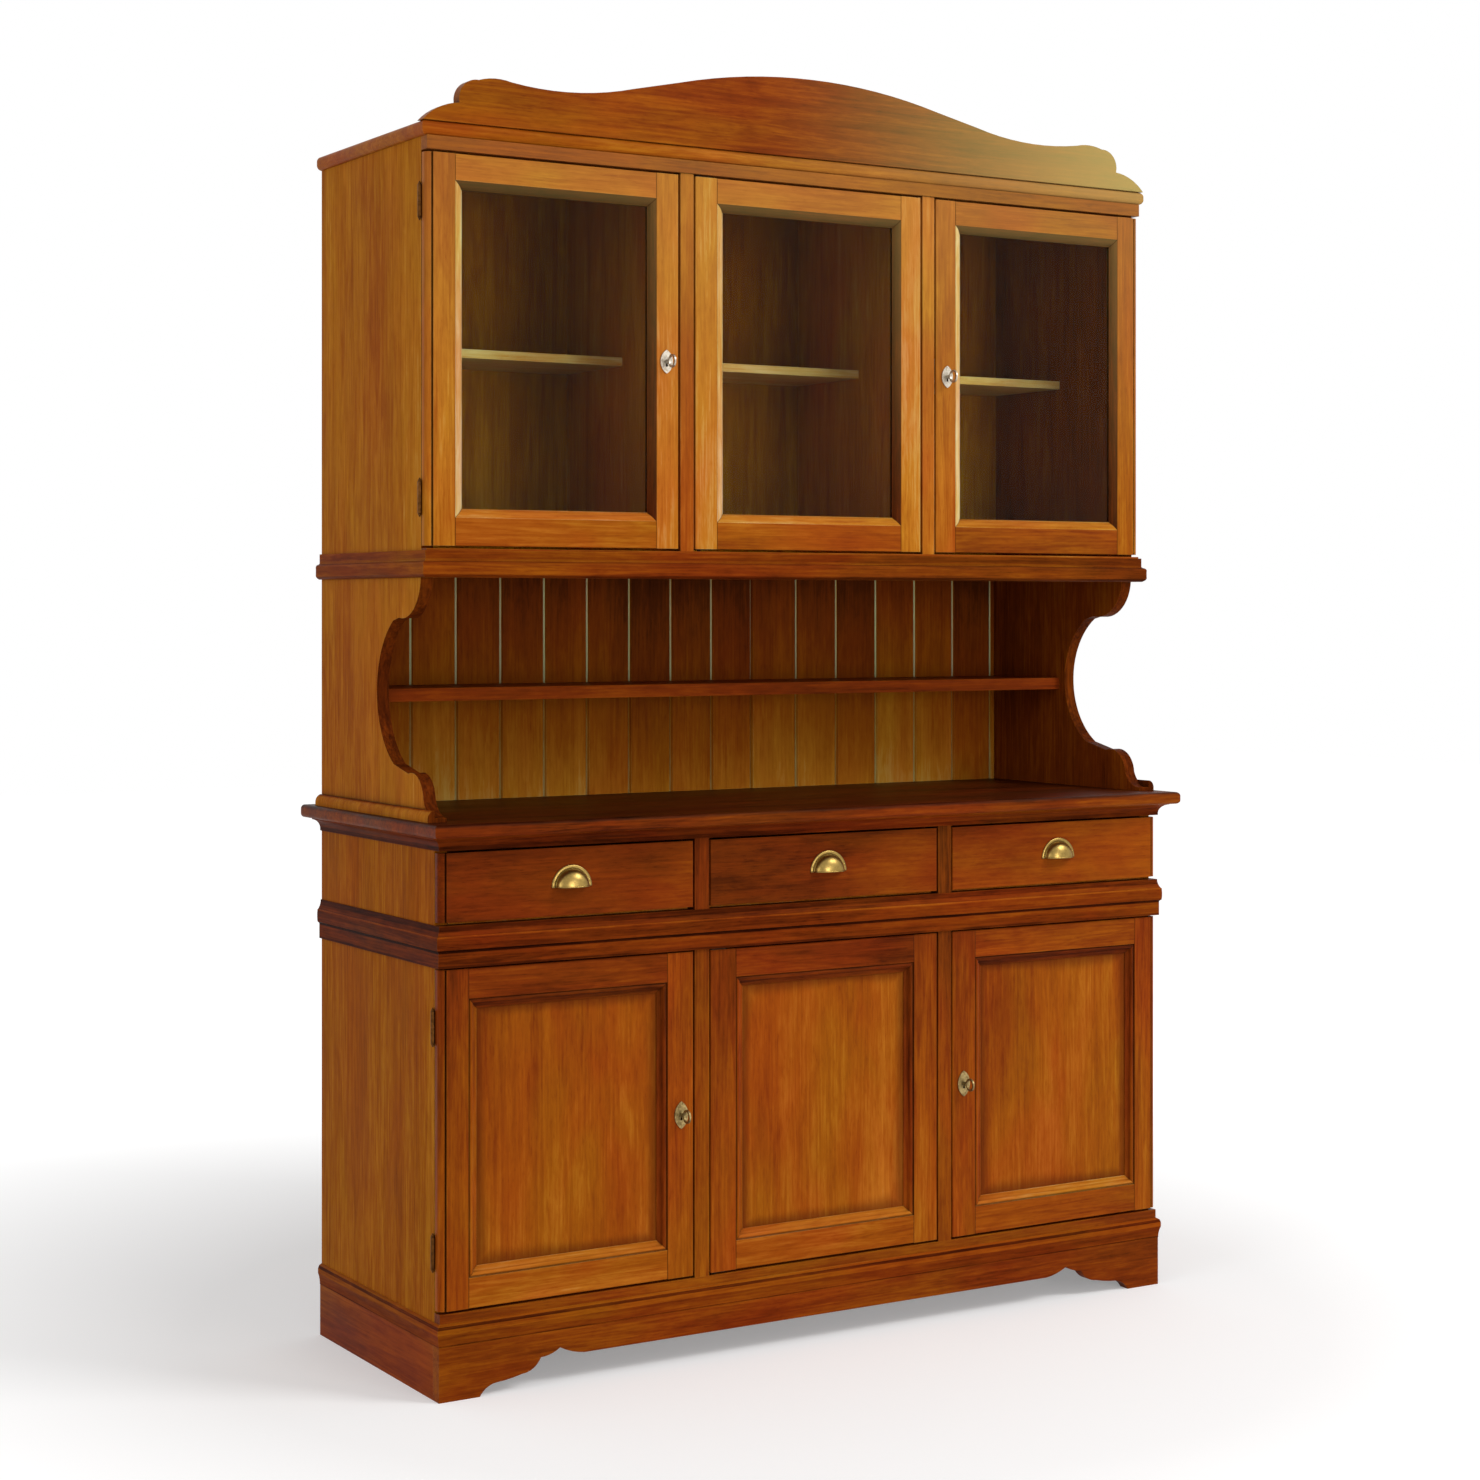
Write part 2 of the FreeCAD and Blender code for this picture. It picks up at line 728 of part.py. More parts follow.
DOORS = {"lower": ("base", "door_low", "door_high"),
         "upper": ("hutch", "hutch_door_low", "hutch_door_high")}
PANEL_MOULDING = ((0, 2), [
    (1.4, 2), ((4.6, 0.5), (8, 2.2)), ((10.2, 5.6), (14, 7.2)), (17, 7.4), (17, 9), (0, 9)])
GLAZING = ((0, 0), [
    ((8, 2), (13, 6.5)), (14.5, 6.5), (14.5, 8), (6, 8), (6, 12), (14.5, 12), (14.5, 14), (10, 18),
    (0, 18)])
LOCK_HEIGHT = {"lower": "base_lock_height", "upper": "hutch_lock_height"}
HINGE_PLACES = {
    "lower": ("door_low + 67", "door_high - 67 - hinge_length"),
    "upper": ("hutch_door_low + 53", "hutch_door_high - 53 - hinge_length"),
}


def stile_width(kind, beaded):
    return "beaded_stile" if beaded else f"{kind}_stile"


def door_span(kind, bay):
    width = f"{kind}_door_width"
    return {
        "left": ("-right", f"{width} - right"),
        "mid": (f"-{width} / 2", f"{width} / 2"),
        "right": (f"right - {width}", "right"),
    }[bay]


def door(row, bay):
    kind, low, high = DOORS[row]
    name = f"{row}_door_{bay}"
    left, right = door_span(kind, bay)
    lock = LOCK_HEIGHT[row]
    opening = (f"{left} + {stile_width(kind, bay == 'left')}",
               f"{right} - {stile_width(kind, bay == 'right')}")
    bottom, top = f"{kind}_bottom_rail", f"{kind}_top_rail"
    height = (f"{low} + {bottom}", f"{high} - {top}")
    frame = [
        stile(name + "_left_stile", left, 1, bay == "left", kind, lock if bay == "right" else None),
        stile(name + "_right_stile", right, -1, bay == "right", kind, lock if bay == "left" else None),
        rail(name + "_bottom_rail", opening, kind, mm(low), mm(low) + mm(bottom)),
        rail(name + "_top_rail", opening, kind, mm(high), mm(high) - mm(top)),
    ]
    profile = PANEL_MOULDING if row == "lower" else GLAZING
    frame += round_an_opening(name + "_moulding", profile, opening, height, f"{kind}_front")
    node(name + "_frame", *frame)
    if row == "lower":
        node(f"lower_panel_{bay}", board(name + "_board", opening,
             (f"{kind}_front + panel_recess", f"{kind}_front + panel_recess + panel_thick"), height))
    else:
        node(f"glass_{bay}", board(
            name + "_pane",
            (f"{opening[0]} + glass_edge", f"{opening[1]} - glass_edge"),
            (f"{kind}_front + glass_recess", f"{kind}_front + glass_recess + glass_thick"),
            (f"{height[0]} + glass_edge", f"{height[1]} - glass_edge")))
    if bay == "mid":
        node(name + "_hardware", *pivots(name, kind, low, high))
    else:
        way = -1 if bay == "left" else 1
        leaves = [hinge_half(f"{name}_hinge_{n}", kind, way, at, moving=True)
                  for n, at in enumerate(HINGE_PLACES[row])]
        node(name + "_hardware", *leaves, *lock_fittings(name, row, kind, way))
        key_and_bolt(row, bay, kind, way)


def pivots(name, kind, low, high):
    """The pivot plates and pins at the top and bottom of a middle door's left stile."""
    x = f"pivot_in - {kind}_door_width / 2"
    y = f"{kind}_front + pivot_back"
    under = {"base": "floor_top", "hutch": "hutch_floor_top"}[kind]
    over = {"base": "belt_low", "hutch": "frieze_low"}[kind]
    made = []
    spans = (("bottom", f"{low} - 1.5", low, f"{under} - pivot_sunk", low),
             ("top", high, f"{high} + 1.5", high, f"{over} + pivot_sunk"))
    for end, plate_low, plate_high, pin_low, pin_high in spans:
        plate = board(f"{name}_{end}_plate", (f"{x} - 8", f"{x} + 22"), (f"{y} - 5", f"{y} + 9"),
                      (plate_low, plate_high))
        pin = cylinder(f"{name}_{end}_pin", "pivot_radius", f"{pin_high} - ({pin_low})", (x, y, pin_low))
        made.append(fuse(f"{name}_{end}_pivot", plate, pin))
    return made


def hinge_half(label, kind, way, low, moving):
    """One half of a small barrel hinge. The fixed half holds the pin that the other turns on."""
    x = f"{way} * (right + hinge_out)"
    behind = f"{kind}_front + front_thickness"
    y = f"{behind} + seat_gap / 2"
    middle = f"{low} + hinge_length / 2"
    high = f"{low} + hinge_length"
    leaf_y = (behind, f"{behind} + hinge_leaf")
    lug_z = (f"{middle} + 0.1", high)
    if not moving:
        leaf_y = (f"{behind} + seat_gap - hinge_leaf", f"{behind} + seat_gap")
        lug_z = (low, f"{middle} - 0.1")
    leaf = board(label + "_leaf", mirrored(way, "right - hinge_leaf_width", "right - 0.5"), leaf_y,
                 (low, high))
    lug = board(label + "_lug", mirrored(way, "right - 0.5", "right + hinge_out"), leaf_y, lug_z)
    knuckle = cylinder(label + "_knuckle", "hinge_radius", f"{lug_z[1]} - ({lug_z[0]})",
                       (x, y, lug_z[0]))
    if moving:
        bore = cylinder(label + "_bore", "hinge_pin_radius + running_fit / 2", "hinge_length", (x, y, low))
        return cut(label, fuse(label + "_whole", leaf, lug, knuckle), bore)
    pin = cylinder(label + "_pin", "hinge_pin_radius", "hinge_length", (x, y, low))
    return fuse(label, leaf, lug, knuckle, pin)


def lock_fittings(name, row, kind, way):
    """The mortise lock's case in the stile and the escutcheon on its face."""
    free = f"right - {kind}_door_width"
    axis = LOCK_HEIGHT[row]
    front = f"{kind}_front"
    key_x = f"{way} * ({free} + lock_inset)"
    middle = f"{front} + case_depth + case_thick / 2"
    case = board(name + "_case_block", mirrored(way, free, f"{free} + case_length"),
                 (f"{front} + case_depth", f"{front} + case_depth + case_thick"),
                 (f"{axis} - case_height / 2", f"{axis} + case_height / 2"))
    channel = board(
        name + "_bolt_channel",
        mirrored(way, f"{free} - 1", f"{free} + bolt_length + 1.5"),
        (f"{middle} - bolt_thick / 2 - running_fit", f"{middle} + bolt_thick / 2 + running_fit"),
        (f"{axis} + bolt_lift - running_fit", f"{axis} + bolt_lift + bolt_height + running_fit"))
    along = Vector(0, 1, 0)
    sweep = board(name + "_bit_space", (f"{key_x} - bit_reach - 1", f"{key_x} + bit_reach + 1"),
                  (f"{middle} - 3.5", f"{middle} + 3.5"),
                  (f"{axis} - bit_reach - 1", f"{axis} + bit_reach + 1"))
    bore = cylinder(name + "_case_bore", "shank_radius + running_fit", "case_thick",
                    (key_x, f"{front} + case_depth", axis), along)
    slot_x = (f"{key_x} - slot_width / 2", f"{key_x} + slot_width / 2")
    slot_z = (f"{axis} - bit_reach - 0.6", axis)
    slot = board(name + "_case_slot", slot_x, (f"{front} + case_depth", middle), slot_z)
    made_case = cut(name + "_lock_case", case, channel, sweep, bore, slot)
    half_width, half_height = (13, 23) if row == "lower" else (12, 20)
    height = mm(axis)
    plate = padded(name + "_plate", "XZ_Plane", (0, height - half_height),
                   [((half_width, height), (0, height + half_height)),
                    ((-half_width, height), (0, height - half_height))], "2", f"{front} - 2")
    bind(plate, "Placement.Base.x", key_x)
    eye = cylinder(name + "_plate_eye", "shank_radius + running_fit", "4",
                   (key_x, f"{front} - 3", axis), along)
    plate_slot = board(name + "_plate_slot", slot_x, (f"{front} - 3", f"{front} + 1"), slot_z)
    escutcheon = cut(name + "_escutcheon", plate, eye, plate_slot)
    return made_case, escutcheon


def key_and_bolt(row, bay, kind, way):
    """A key with a ring bow, standing upright in its lock, and the bolt that it throws."""
    free = f"right - {kind}_door_width"
    axis = LOCK_HEIGHT[row]
    front = f"{kind}_front"
    key_x = f"{way} * ({free} + lock_inset)"
    middle = f"{front} + case_depth + case_thick / 2"
    name = f"{row}_key_{bay}"
    along = Vector(0, 1, 0)
    shank = cylinder(name + "_shank", "shank_radius", "case_depth + case_thick + 7.5",
                     (key_x, f"{front} - 8", axis), along)
    neck = board(name + "_neck", (f"{key_x} - 2.6", f"{key_x} + 2.6"), (f"{front} - 10.5", f"{front} - 8"),
                 (f"{axis} - 3.2", f"{axis} + 3.2"))
    collar = cylinder(name + "_collar", "shank_radius + 1.3", "2.5", (key_x, f"{front} - 6", axis), along)
    across = Vector(1, 0, 0)
    disc = cylinder(name + "_disc", "bow_radius", "3", (f"{key_x} - 1.5", f"{front} - 20", axis), across)
    eye = cylinder(name + "_eye", "bow_radius - 3.5", "5", (f"{key_x} - 2.5", f"{front} - 20", axis),
                   across)
    bow = cut(name + "_bow", disc, eye)
    bit = board(name + "_bit", (f"{key_x} - 1.5", f"{key_x} + 1.5"), (f"{middle} - 3", f"{middle} + 3"),
                (f"{axis} - bit_reach", axis))
    node(name, fuse(name + "_whole", shank, neck, collar, bow, bit))
    withdrawn = "0.5"
    node(f"{row}_bolt_{bay}", board(
        f"{row}_{bay}_bolt_bar",
        mirrored(way, f"{free} + {withdrawn}", f"{free} + {withdrawn} + bolt_length"),
        (f"{middle} - bolt_thick / 2", f"{middle} + bolt_thick / 2"),
        (f"{axis} + bolt_lift", f"{axis} + bolt_lift + bolt_height")))


# ---------------------------------------------------------------- drawers

def drawer(bay):
    left, right = door_span("base", bay)
    width = mm("base_door_width")
    thick = mm("front_thickness")
    far_corner = moved(outer_corner(bay != "mid"), -1, width)
    face_end, far_side = backwards((width, thick), far_corner)
    way = -1 if bay == "left" else 1
    outline = moved(outer_corner(False) + [face_end] + far_side, way)
    front = padded(f"drawer_{bay}_board", "XY_Plane", (0, thick), outline, "drawer_high - drawer_low",
                   "drawer_low")
    bind(front, "Placement.Base.x", left if way > 0 else right)
    bind(front, "Placement.Base.y", "base_front")
    node(f"drawer_front_{bay}", front)
    drawer_box(bay)
    cup_pull(bay, f"(({left}) + ({right})) / 2 + pull_aside")


def drawer_box(bay):
    """An open box: two sides, a back and a bottom held between them, behind the front."""
    guide = "base_post_at + drawer_guide / 2 + 1"
    if bay == "mid":
        inner = "base_post_at - drawer_guide / 2 - 1"
        x = (negative(inner), inner)
    else:
        x = mirrored(-1 if bay == "left" else 1, guide, "inner - 1")
    y = ("base_front + front_thickness", "base_front + front_thickness + drawer_box_depth")
    z = ("belt_high + slide_gap", "drawer_box_high")
    between = (f"{x[0]} + drawer_wall", f"{x[1]} - drawer_wall")
    node(f"drawer_box_{bay}",
         board(f"drawer_{bay}_left_side", (x[0], between[0]), y, z),
         board(f"drawer_{bay}_right_side", (between[1], x[1]), y, z),
         board(f"drawer_{bay}_back", between, (f"{y[1]} - drawer_wall", y[1]), z),
         board(f"drawer_{bay}_bottom", between, (y[0], f"{y[1]} - drawer_wall"),
               (z[0], f"{z[0]} + drawer_bottom")))


def cup_pull(bay, middle):
    """A half-dome pull, open below for the fingers, with a flat rim round its arch."""
    name = f"cup_pull_{bay}"

    def dome(label, less):
        shape = doc.addObject("Part::Ellipsoid", label)
        bind(shape, "Radius1", f"pull_rise - pull_rim - {less}")
        bind(shape, "Radius2", f"pull_half_width - pull_rim - {less}")
        bind(shape, "Radius3", f"pull_depth - {less}")
        for letter, expression in zip("xyz", (middle, "base_front", "pull_low")):
            bind(shape, f"Placement.Base.{letter}", expression)
        return shape

    shell = cut(name + "_shell", dome(name + "_outer", "0"), dome(name + "_inner", "pull_wall"))
    quarter = board(name + "_quarter", (f"{middle} - pull_half_width", f"{middle} + pull_half_width"),
                    ("base_front - pull_depth - 1", "base_front"), ("pull_low", "pull_low + pull_rise"))
    hood = doc.addObject("Part::Common", name + "_hood")
    hood.Base = shell
    hood.Tool = quarter
    wide, rise, rim = mm("pull_half_width"), mm("pull_rise"), mm("pull_rim") + 1
    low = mm("pull_low")
    flange = padded(name + "_flange", "XZ_Plane", (-wide, low),
                    [((0, low + rise), (wide, low)), (wide - rim, low),
                     ((0, low + rise - rim), (rim - wide, low))], "2", "base_front - 2")
    bind(flange, "Placement.Base.x", middle)
    node(name, fuse(name + "_whole", hood, flange))


# ---------------------------------------------------------------- the whole piece

plinth()
carcass_mouldings()
base_carcass()
face_frames()
base_top()
hutch_sides()
matchboards()
hutch_carcass()
hutch_top()
pediment()
for row in DOORS:
    for bay in BAYS:
        door(row, bay)
node("carcass_hinge_halves", *(
    hinge_half(f"{row}_{side}_fixed_{n}", DOORS[row][0], way, at, moving=False)
    for row in DOORS
    for side, way in SIDES
    for n, at in enumerate(HINGE_PLACES[row])))
for bay in BAYS:
    drawer(bay)

doc.recompute()
for thing in doc.Objects:
    if {"Invalid", "Error"} & set(thing.State):
        raise RuntimeError(f"{thing.Label} failed: {thing.State}")
os.makedirs("parts", exist_ok=True)
for piece in NODES:
    if piece.Shape.isNull() or not piece.Shape.isValid():
        raise RuntimeError(f"{piece.Label} has no valid shape")
for piece in NODES:
    piece.Shape.exportStep(f"parts/{piece.Label}.step")
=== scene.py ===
"""Dresser with hutch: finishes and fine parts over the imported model, in metres, fronts facing -Y.

The sections follow the piece as it is put together: plinth, base, worktop, hutch, pediment, then
the doors with their fittings and the drawers with their pulls.
"""
import json
import math

import bmesh
import bpy
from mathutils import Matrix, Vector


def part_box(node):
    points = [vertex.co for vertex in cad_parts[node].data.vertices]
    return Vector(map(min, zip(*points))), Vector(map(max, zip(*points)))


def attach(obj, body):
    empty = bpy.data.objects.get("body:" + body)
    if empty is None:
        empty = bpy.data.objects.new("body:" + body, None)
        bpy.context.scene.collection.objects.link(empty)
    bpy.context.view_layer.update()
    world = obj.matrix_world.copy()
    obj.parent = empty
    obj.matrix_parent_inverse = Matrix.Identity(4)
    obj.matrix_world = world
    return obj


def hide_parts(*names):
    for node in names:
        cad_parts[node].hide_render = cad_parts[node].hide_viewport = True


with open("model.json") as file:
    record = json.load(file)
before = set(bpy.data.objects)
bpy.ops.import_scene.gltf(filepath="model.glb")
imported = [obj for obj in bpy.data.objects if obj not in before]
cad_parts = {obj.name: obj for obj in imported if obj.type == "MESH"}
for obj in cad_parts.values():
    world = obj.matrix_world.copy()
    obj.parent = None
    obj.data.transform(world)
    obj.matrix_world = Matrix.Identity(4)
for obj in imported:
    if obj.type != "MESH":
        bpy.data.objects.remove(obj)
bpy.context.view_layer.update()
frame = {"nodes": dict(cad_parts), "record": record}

# ---------------------------------------------------------------- camera
# The dresser is seen from its front left, at eye height, with upright lines kept upright.

def put(name, data):
    """A new object in the scene, with this data."""
    made = bpy.data.objects.new(name, data)
    bpy.context.collection.objects.link(made)
    return made


# where the eye is, in metres, and how far it looks to the right, in degrees
EYE, TURNED_RIGHT = (-2.5848, -4.1808, 1.2633), 31.41
view = bpy.data.cameras.new("view")
view.lens = 66.28
view.sensor_width = 36
view.shift_y = -0.0890
camera = put("view", view)
camera.location = EYE
camera.rotation_euler = (math.radians(90), 0, math.radians(-TURNED_RIGHT))
bpy.context.scene.camera = camera
bpy.context.scene.view_settings.view_transform = "Standard"


# ---------------------------------------------------------------- light
# A large softbox high at the front right, weaker ones low in front and at the left, and a plain
# white room.

def linear(code):
    """The linear colour of an sRGB hex value such as "#9A5018"."""
    channels = [int(code[n:n + 2], 16) / 255 for n in (1, 3, 5)]
    return tuple(c / 12.92 if c <= 0.04045 else ((c + 0.055) / 1.055) ** 2.4 for c in channels) + (1.0,)


def add(tree, kind, inputs=None, **settings):
    """Adds one node: its settings by name, and its inputs by name or number, each a plain value,
    a socket, or a node whose first output is meant."""
    made = tree.nodes.new(kind)
    for setting, value in settings.items():
        setattr(made, setting, value)
    for place, value in (inputs or {}).items():
        if isinstance(value, bpy.types.Node):
            value = next(socket for socket in value.outputs if socket.enabled)
        if isinstance(value, bpy.types.NodeSocket):
            tree.links.new(value, made.inputs[place])
        else:
            made.inputs[place].default_value = value
    return made


def softbox(name, place, aim, size, power):
    """A square lamp with sides of this size in metres, which shines from its place at the aim."""
    lamp = bpy.data.lights.new(name, "AREA")
    lamp.shape = "SQUARE"
    lamp.size = size
    lamp.energy = power
    box = put(name, lamp)
    box.location = place
    toward = Vector(aim) - Vector(place)
    box.rotation_euler = toward.to_track_quat("-Z", "Y").to_euler()


def sees_white(tree):
    """1 for the rays that see the room plain white: the camera's, those off metal, and those
    through glass. It is 0 for the rays that light the dresser."""
    ray = add(tree, "ShaderNodeLightPath")
    seen = add(tree, "ShaderNodeMath", {0: ray.outputs["Is Camera Ray"],
                                        1: ray.outputs["Is Glossy Ray"]}, operation="ADD")
    return add(tree, "ShaderNodeMath", {0: seen, 1: ray.outputs["Is Transmission Ray"]},
               operation="ADD", use_clamp=True)


softbox("key_softbox", (2.6, -3.2, 4.1), aim=(0, 0, 1.3), size=1.8, power=120)
softbox("front_softbox", (0.5, -5.2, 1.1), aim=(0, 0, 1.1), size=1.6, power=62)
softbox("side_softbox", (-4.4, -1.2, 1.9), aim=(0, 0, 1.1), size=2.4, power=36)

room = bpy.data.worlds.new("room")
bpy.context.scene.world = room
room.use_nodes = True
tree = room.node_tree
tree.nodes.clear()
lighting = add(tree, "ShaderNodeBackground", {"Color": linear("#FFFFFF"), "Strength": 0.5})
shown = add(tree, "ShaderNodeBackground", {"Color": linear("#FFFFFF"), "Strength": 1.0})
both = add(tree, "ShaderNodeMixShader", {0: sees_white(tree), 1: lighting, 2: shown})
add(tree, "ShaderNodeOutputWorld", {"Surface": both})


# ---------------------------------------------------------------- floor
# A plain pale studio floor, matt, that takes the dresser's shadow.

def finish(name):
    """A new material with an empty node tree, and that tree."""
    material = bpy.data.materials.new(name)
    material.use_nodes = True
    material.node_tree.nodes.clear()
    return material, material.node_tree


REACH = 14
corners = [(-REACH, -REACH, 0), (REACH, -REACH, 0), (REACH, REACH, 0), (-REACH, REACH, 0)]
ground = bpy.data.meshes.new("studio_floor")
ground.from_pydata(corners, [], [(0, 1, 2, 3)])
floor = put("studio_floor", ground)
paint, tree = finish("floor_paint_matt_white")
matt = add(tree, "ShaderNodeBsdfDiffuse", {"Color": linear("#E6E6E6")})
# those rays see it glow as well, least near the dresser, so that the shadow there shows
coordinates = add(tree, "ShaderNodeTexCoord")
distance = add(tree, "ShaderNodeVectorMath", {0: coordinates.outputs["Object"]}, operation="LENGTH")
pale = add(tree, "ShaderNodeMapRange", {"Value": distance.outputs["Value"], "From Min": 1.0,
                                        "From Max": 2.3, "To Min": 0.27, "To Max": 0.64})
glow = add(tree, "ShaderNodeEmission", {"Color": linear("#FFFFFF"), "Strength": pale})
lit = add(tree, "ShaderNodeAddShader", {0: matt, 1: glow})
both = add(tree, "ShaderNodeMixShader", {0: sees_white(tree), 1: matt, 2: lit})
add(tree, "ShaderNodeOutputMaterial", {"Surface": both})
ground.materials.append(paint)


# ---------------------------------------------------------------- plinth
# Four boards of cherry on edge, the front one sawn to two bracket feet, glued at the corners.
# Every outside surface of the dresser is this cherry: stained, darkened in its corners by glazing and by
# painted shade, waxed.

def laid(tree, axis, place):
    """The place in millimetres, turned so that the grain runs along its third axis."""
    x, y, z = place
    order = {"z": (x, y, z), "x": (z, y, x), "y": (x, z, y)}[axis]
    return add(tree, "ShaderNodeCombineXYZ", dict(enumerate(order)))


# Each run says how the grain lies in a piece. From the place in millimetres it gives the grain's
# own coordinates, the number of the board, how much paler the wood is there, and how far it is to
# the nearest joint, or None where the piece has none.

def straight(axis):
    """Grain that runs one way all over."""
    def run(tree, place):
        return laid(tree, axis, place), 0.5, 0.0, None

    return run


def cornered(inside, front, mitred):
    """Boards round the front and sides: grain runs back where |x| is beyond `inside` and y is
    behind `front`. The corners are mitred, or butted."""
    def run(tree, place):
        x, y = place[:2]
        out = add(tree, "ShaderNodeMath", {0: x}, operation="ABSOLUTE")
        out = add(tree, "ShaderNodeMath", {0: out, 1: inside}, operation="SUBTRACT")
        back = add(tree, "ShaderNodeMath", {0: y, 1: front}, operation="SUBTRACT")
        side = add(tree, "ShaderNodeMath", {0: out, 1: back}, operation="ADD" if mitred else "MINIMUM")
        side = add(tree, "ShaderNodeMath", {0: side, 1: 0.0}, operation="GREATER_THAN")
        grain = add(tree, "ShaderNodeMix", {0: side, 4: laid(tree, "x", place),
                                            5: laid(tree, "y", place)}, data_type="VECTOR")
        return grain, side, 0.0, None

    return run


# the stain's colours, each with its tone: 0 is the darkest stain, 1 the palest, and past that
# bare wood shows
CHERRY = (("#200802", 0.0), ("#4A1A06", 0.18), ("#762F0A", 0.36), ("#96490D", 0.54),
          ("#B4681C", 0.72), ("#C69250", 0.90), ("#D0AC78", 1.0), ("#E2D6B8", 1.25))
BAREST = CHERRY[-1][1]
# the near-black glazing in corners and the browner one along a panel's moulding, both also standing for
# painted shade
GLAZE_AND_SHADE, EDGE_GLAZE_AND_SHADE = "#1E0803", "#4A1A08"
# the pale colour of a painted sheen
PAINTED_SHEEN_COLOUR = "#C8B66C"


def stain_colour(tree, depth):
    """The stain's colour at this tone."""
    depth = add(tree, "ShaderNodeMath", {0: depth, 1: BAREST}, operation="DIVIDE")
    ramp = add(tree, "ShaderNodeValToRGB", {0: depth})
    stops = ramp.color_ramp.elements
    for _, at in CHERRY[1:-1]:
        stops.new(at / BAREST)
    for stop, (code, at) in zip(stops, CHERRY):
        stop.position = at / BAREST
        stop.color = linear(code)
    return ramp


def worn_and_lit_edges(tree, rounded):
    """How much paler the edges are, from the rounded normal: partly wear where hands and dusters rub,
    partly a painted highlight on the rounding.
    """
    facing = add(tree, "ShaderNodeNewGeometry")
    turn = add(tree, "ShaderNodeVectorMath", {0: rounded, 1: facing.outputs["Normal"]},
               operation="DOT_PRODUCT")
    return add(tree, "ShaderNodeMapRange", {"Value": turn.outputs["Value"], "From Min": 1.0,
                                            "From Max": 0.75, "To Min": 0.0, "To Max": 0.24})


def with_painted_sheen(tree, tint, place, painted_sheen, painted_sheen_from):
    """The tint, with a pale painted sheen at the top right corner in front, standing in for a reflected
    light.
    """
    across = add(tree, "ShaderNodeMapRange", {"Value": place[0], "From Min": painted_sheen_from,
                                              "From Max": 1000.0}, interpolation_type="SMOOTHSTEP")
    up = add(tree, "ShaderNodeMapRange", {"Value": place[2], "From Min": 1300.0, "From Max": 2150.0,
                                          "To Max": painted_sheen}, interpolation_type="SMOOTHSTEP")
    share = add(tree, "ShaderNodeMath", {0: across, 1: up}, operation="MULTIPLY")
    back = add(tree, "ShaderNodeMapRange", {"Value": place[1], "From Min": -190.0, "From Max": 40.0,
                                            "To Min": 1.0, "To Max": 0.0},
               interpolation_type="SMOOTHSTEP")
    share = add(tree, "ShaderNodeMath", {0: share, 1: back}, operation="MULTIPLY")
    return add(tree, "ShaderNodeMix", {0: share, 6: tint, 7: linear(PAINTED_SHEEN_COLOUR)},
               data_type="RGBA").outputs[2]


def glazed_and_shaded(tree, tint, seam, glaze_and_shade):
    """The tint, darkened where a rag can't reach: within 16 mm of a corner by the dark glazing together
    with painted shade, and within 1 mm of a joint."""
    open_air = add(tree, "ShaderNodeAmbientOcclusion", {"Distance": 0.016}, samples=6, only_local=True)
    shut = add(tree, "ShaderNodeMapRange", {"Value": open_air.outputs["AO"], "From Min": 0.95,
                                            "From Max": 0.45, "To Min": 0.0, "To Max": glaze_and_shade})
    if seam is not None:
        joint = add(tree, "ShaderNodeMapRange", {"Value": seam, "From Min": 0.25, "From Max": 1.1,
                                                 "To Min": 0.75, "To Max": 0.0})
        shut = add(tree, "ShaderNodeMath", {0: shut, 1: joint}, operation="MAXIMUM")
    return add(tree, "ShaderNodeMix", {0: shut, 6: tint, 7: linear(GLAZE_AND_SHADE)},
               data_type="RGBA").outputs[2]


def in_mm(box):
    """A box's low and high corners in millimetres."""
    return tuple(tuple(c * 1000 for c in corner) for corner in box)


def dress(node, material):
    """Gives a CAD node this material all over."""
    for slot in frame["nodes"][node].material_slots:
        slot.material = material


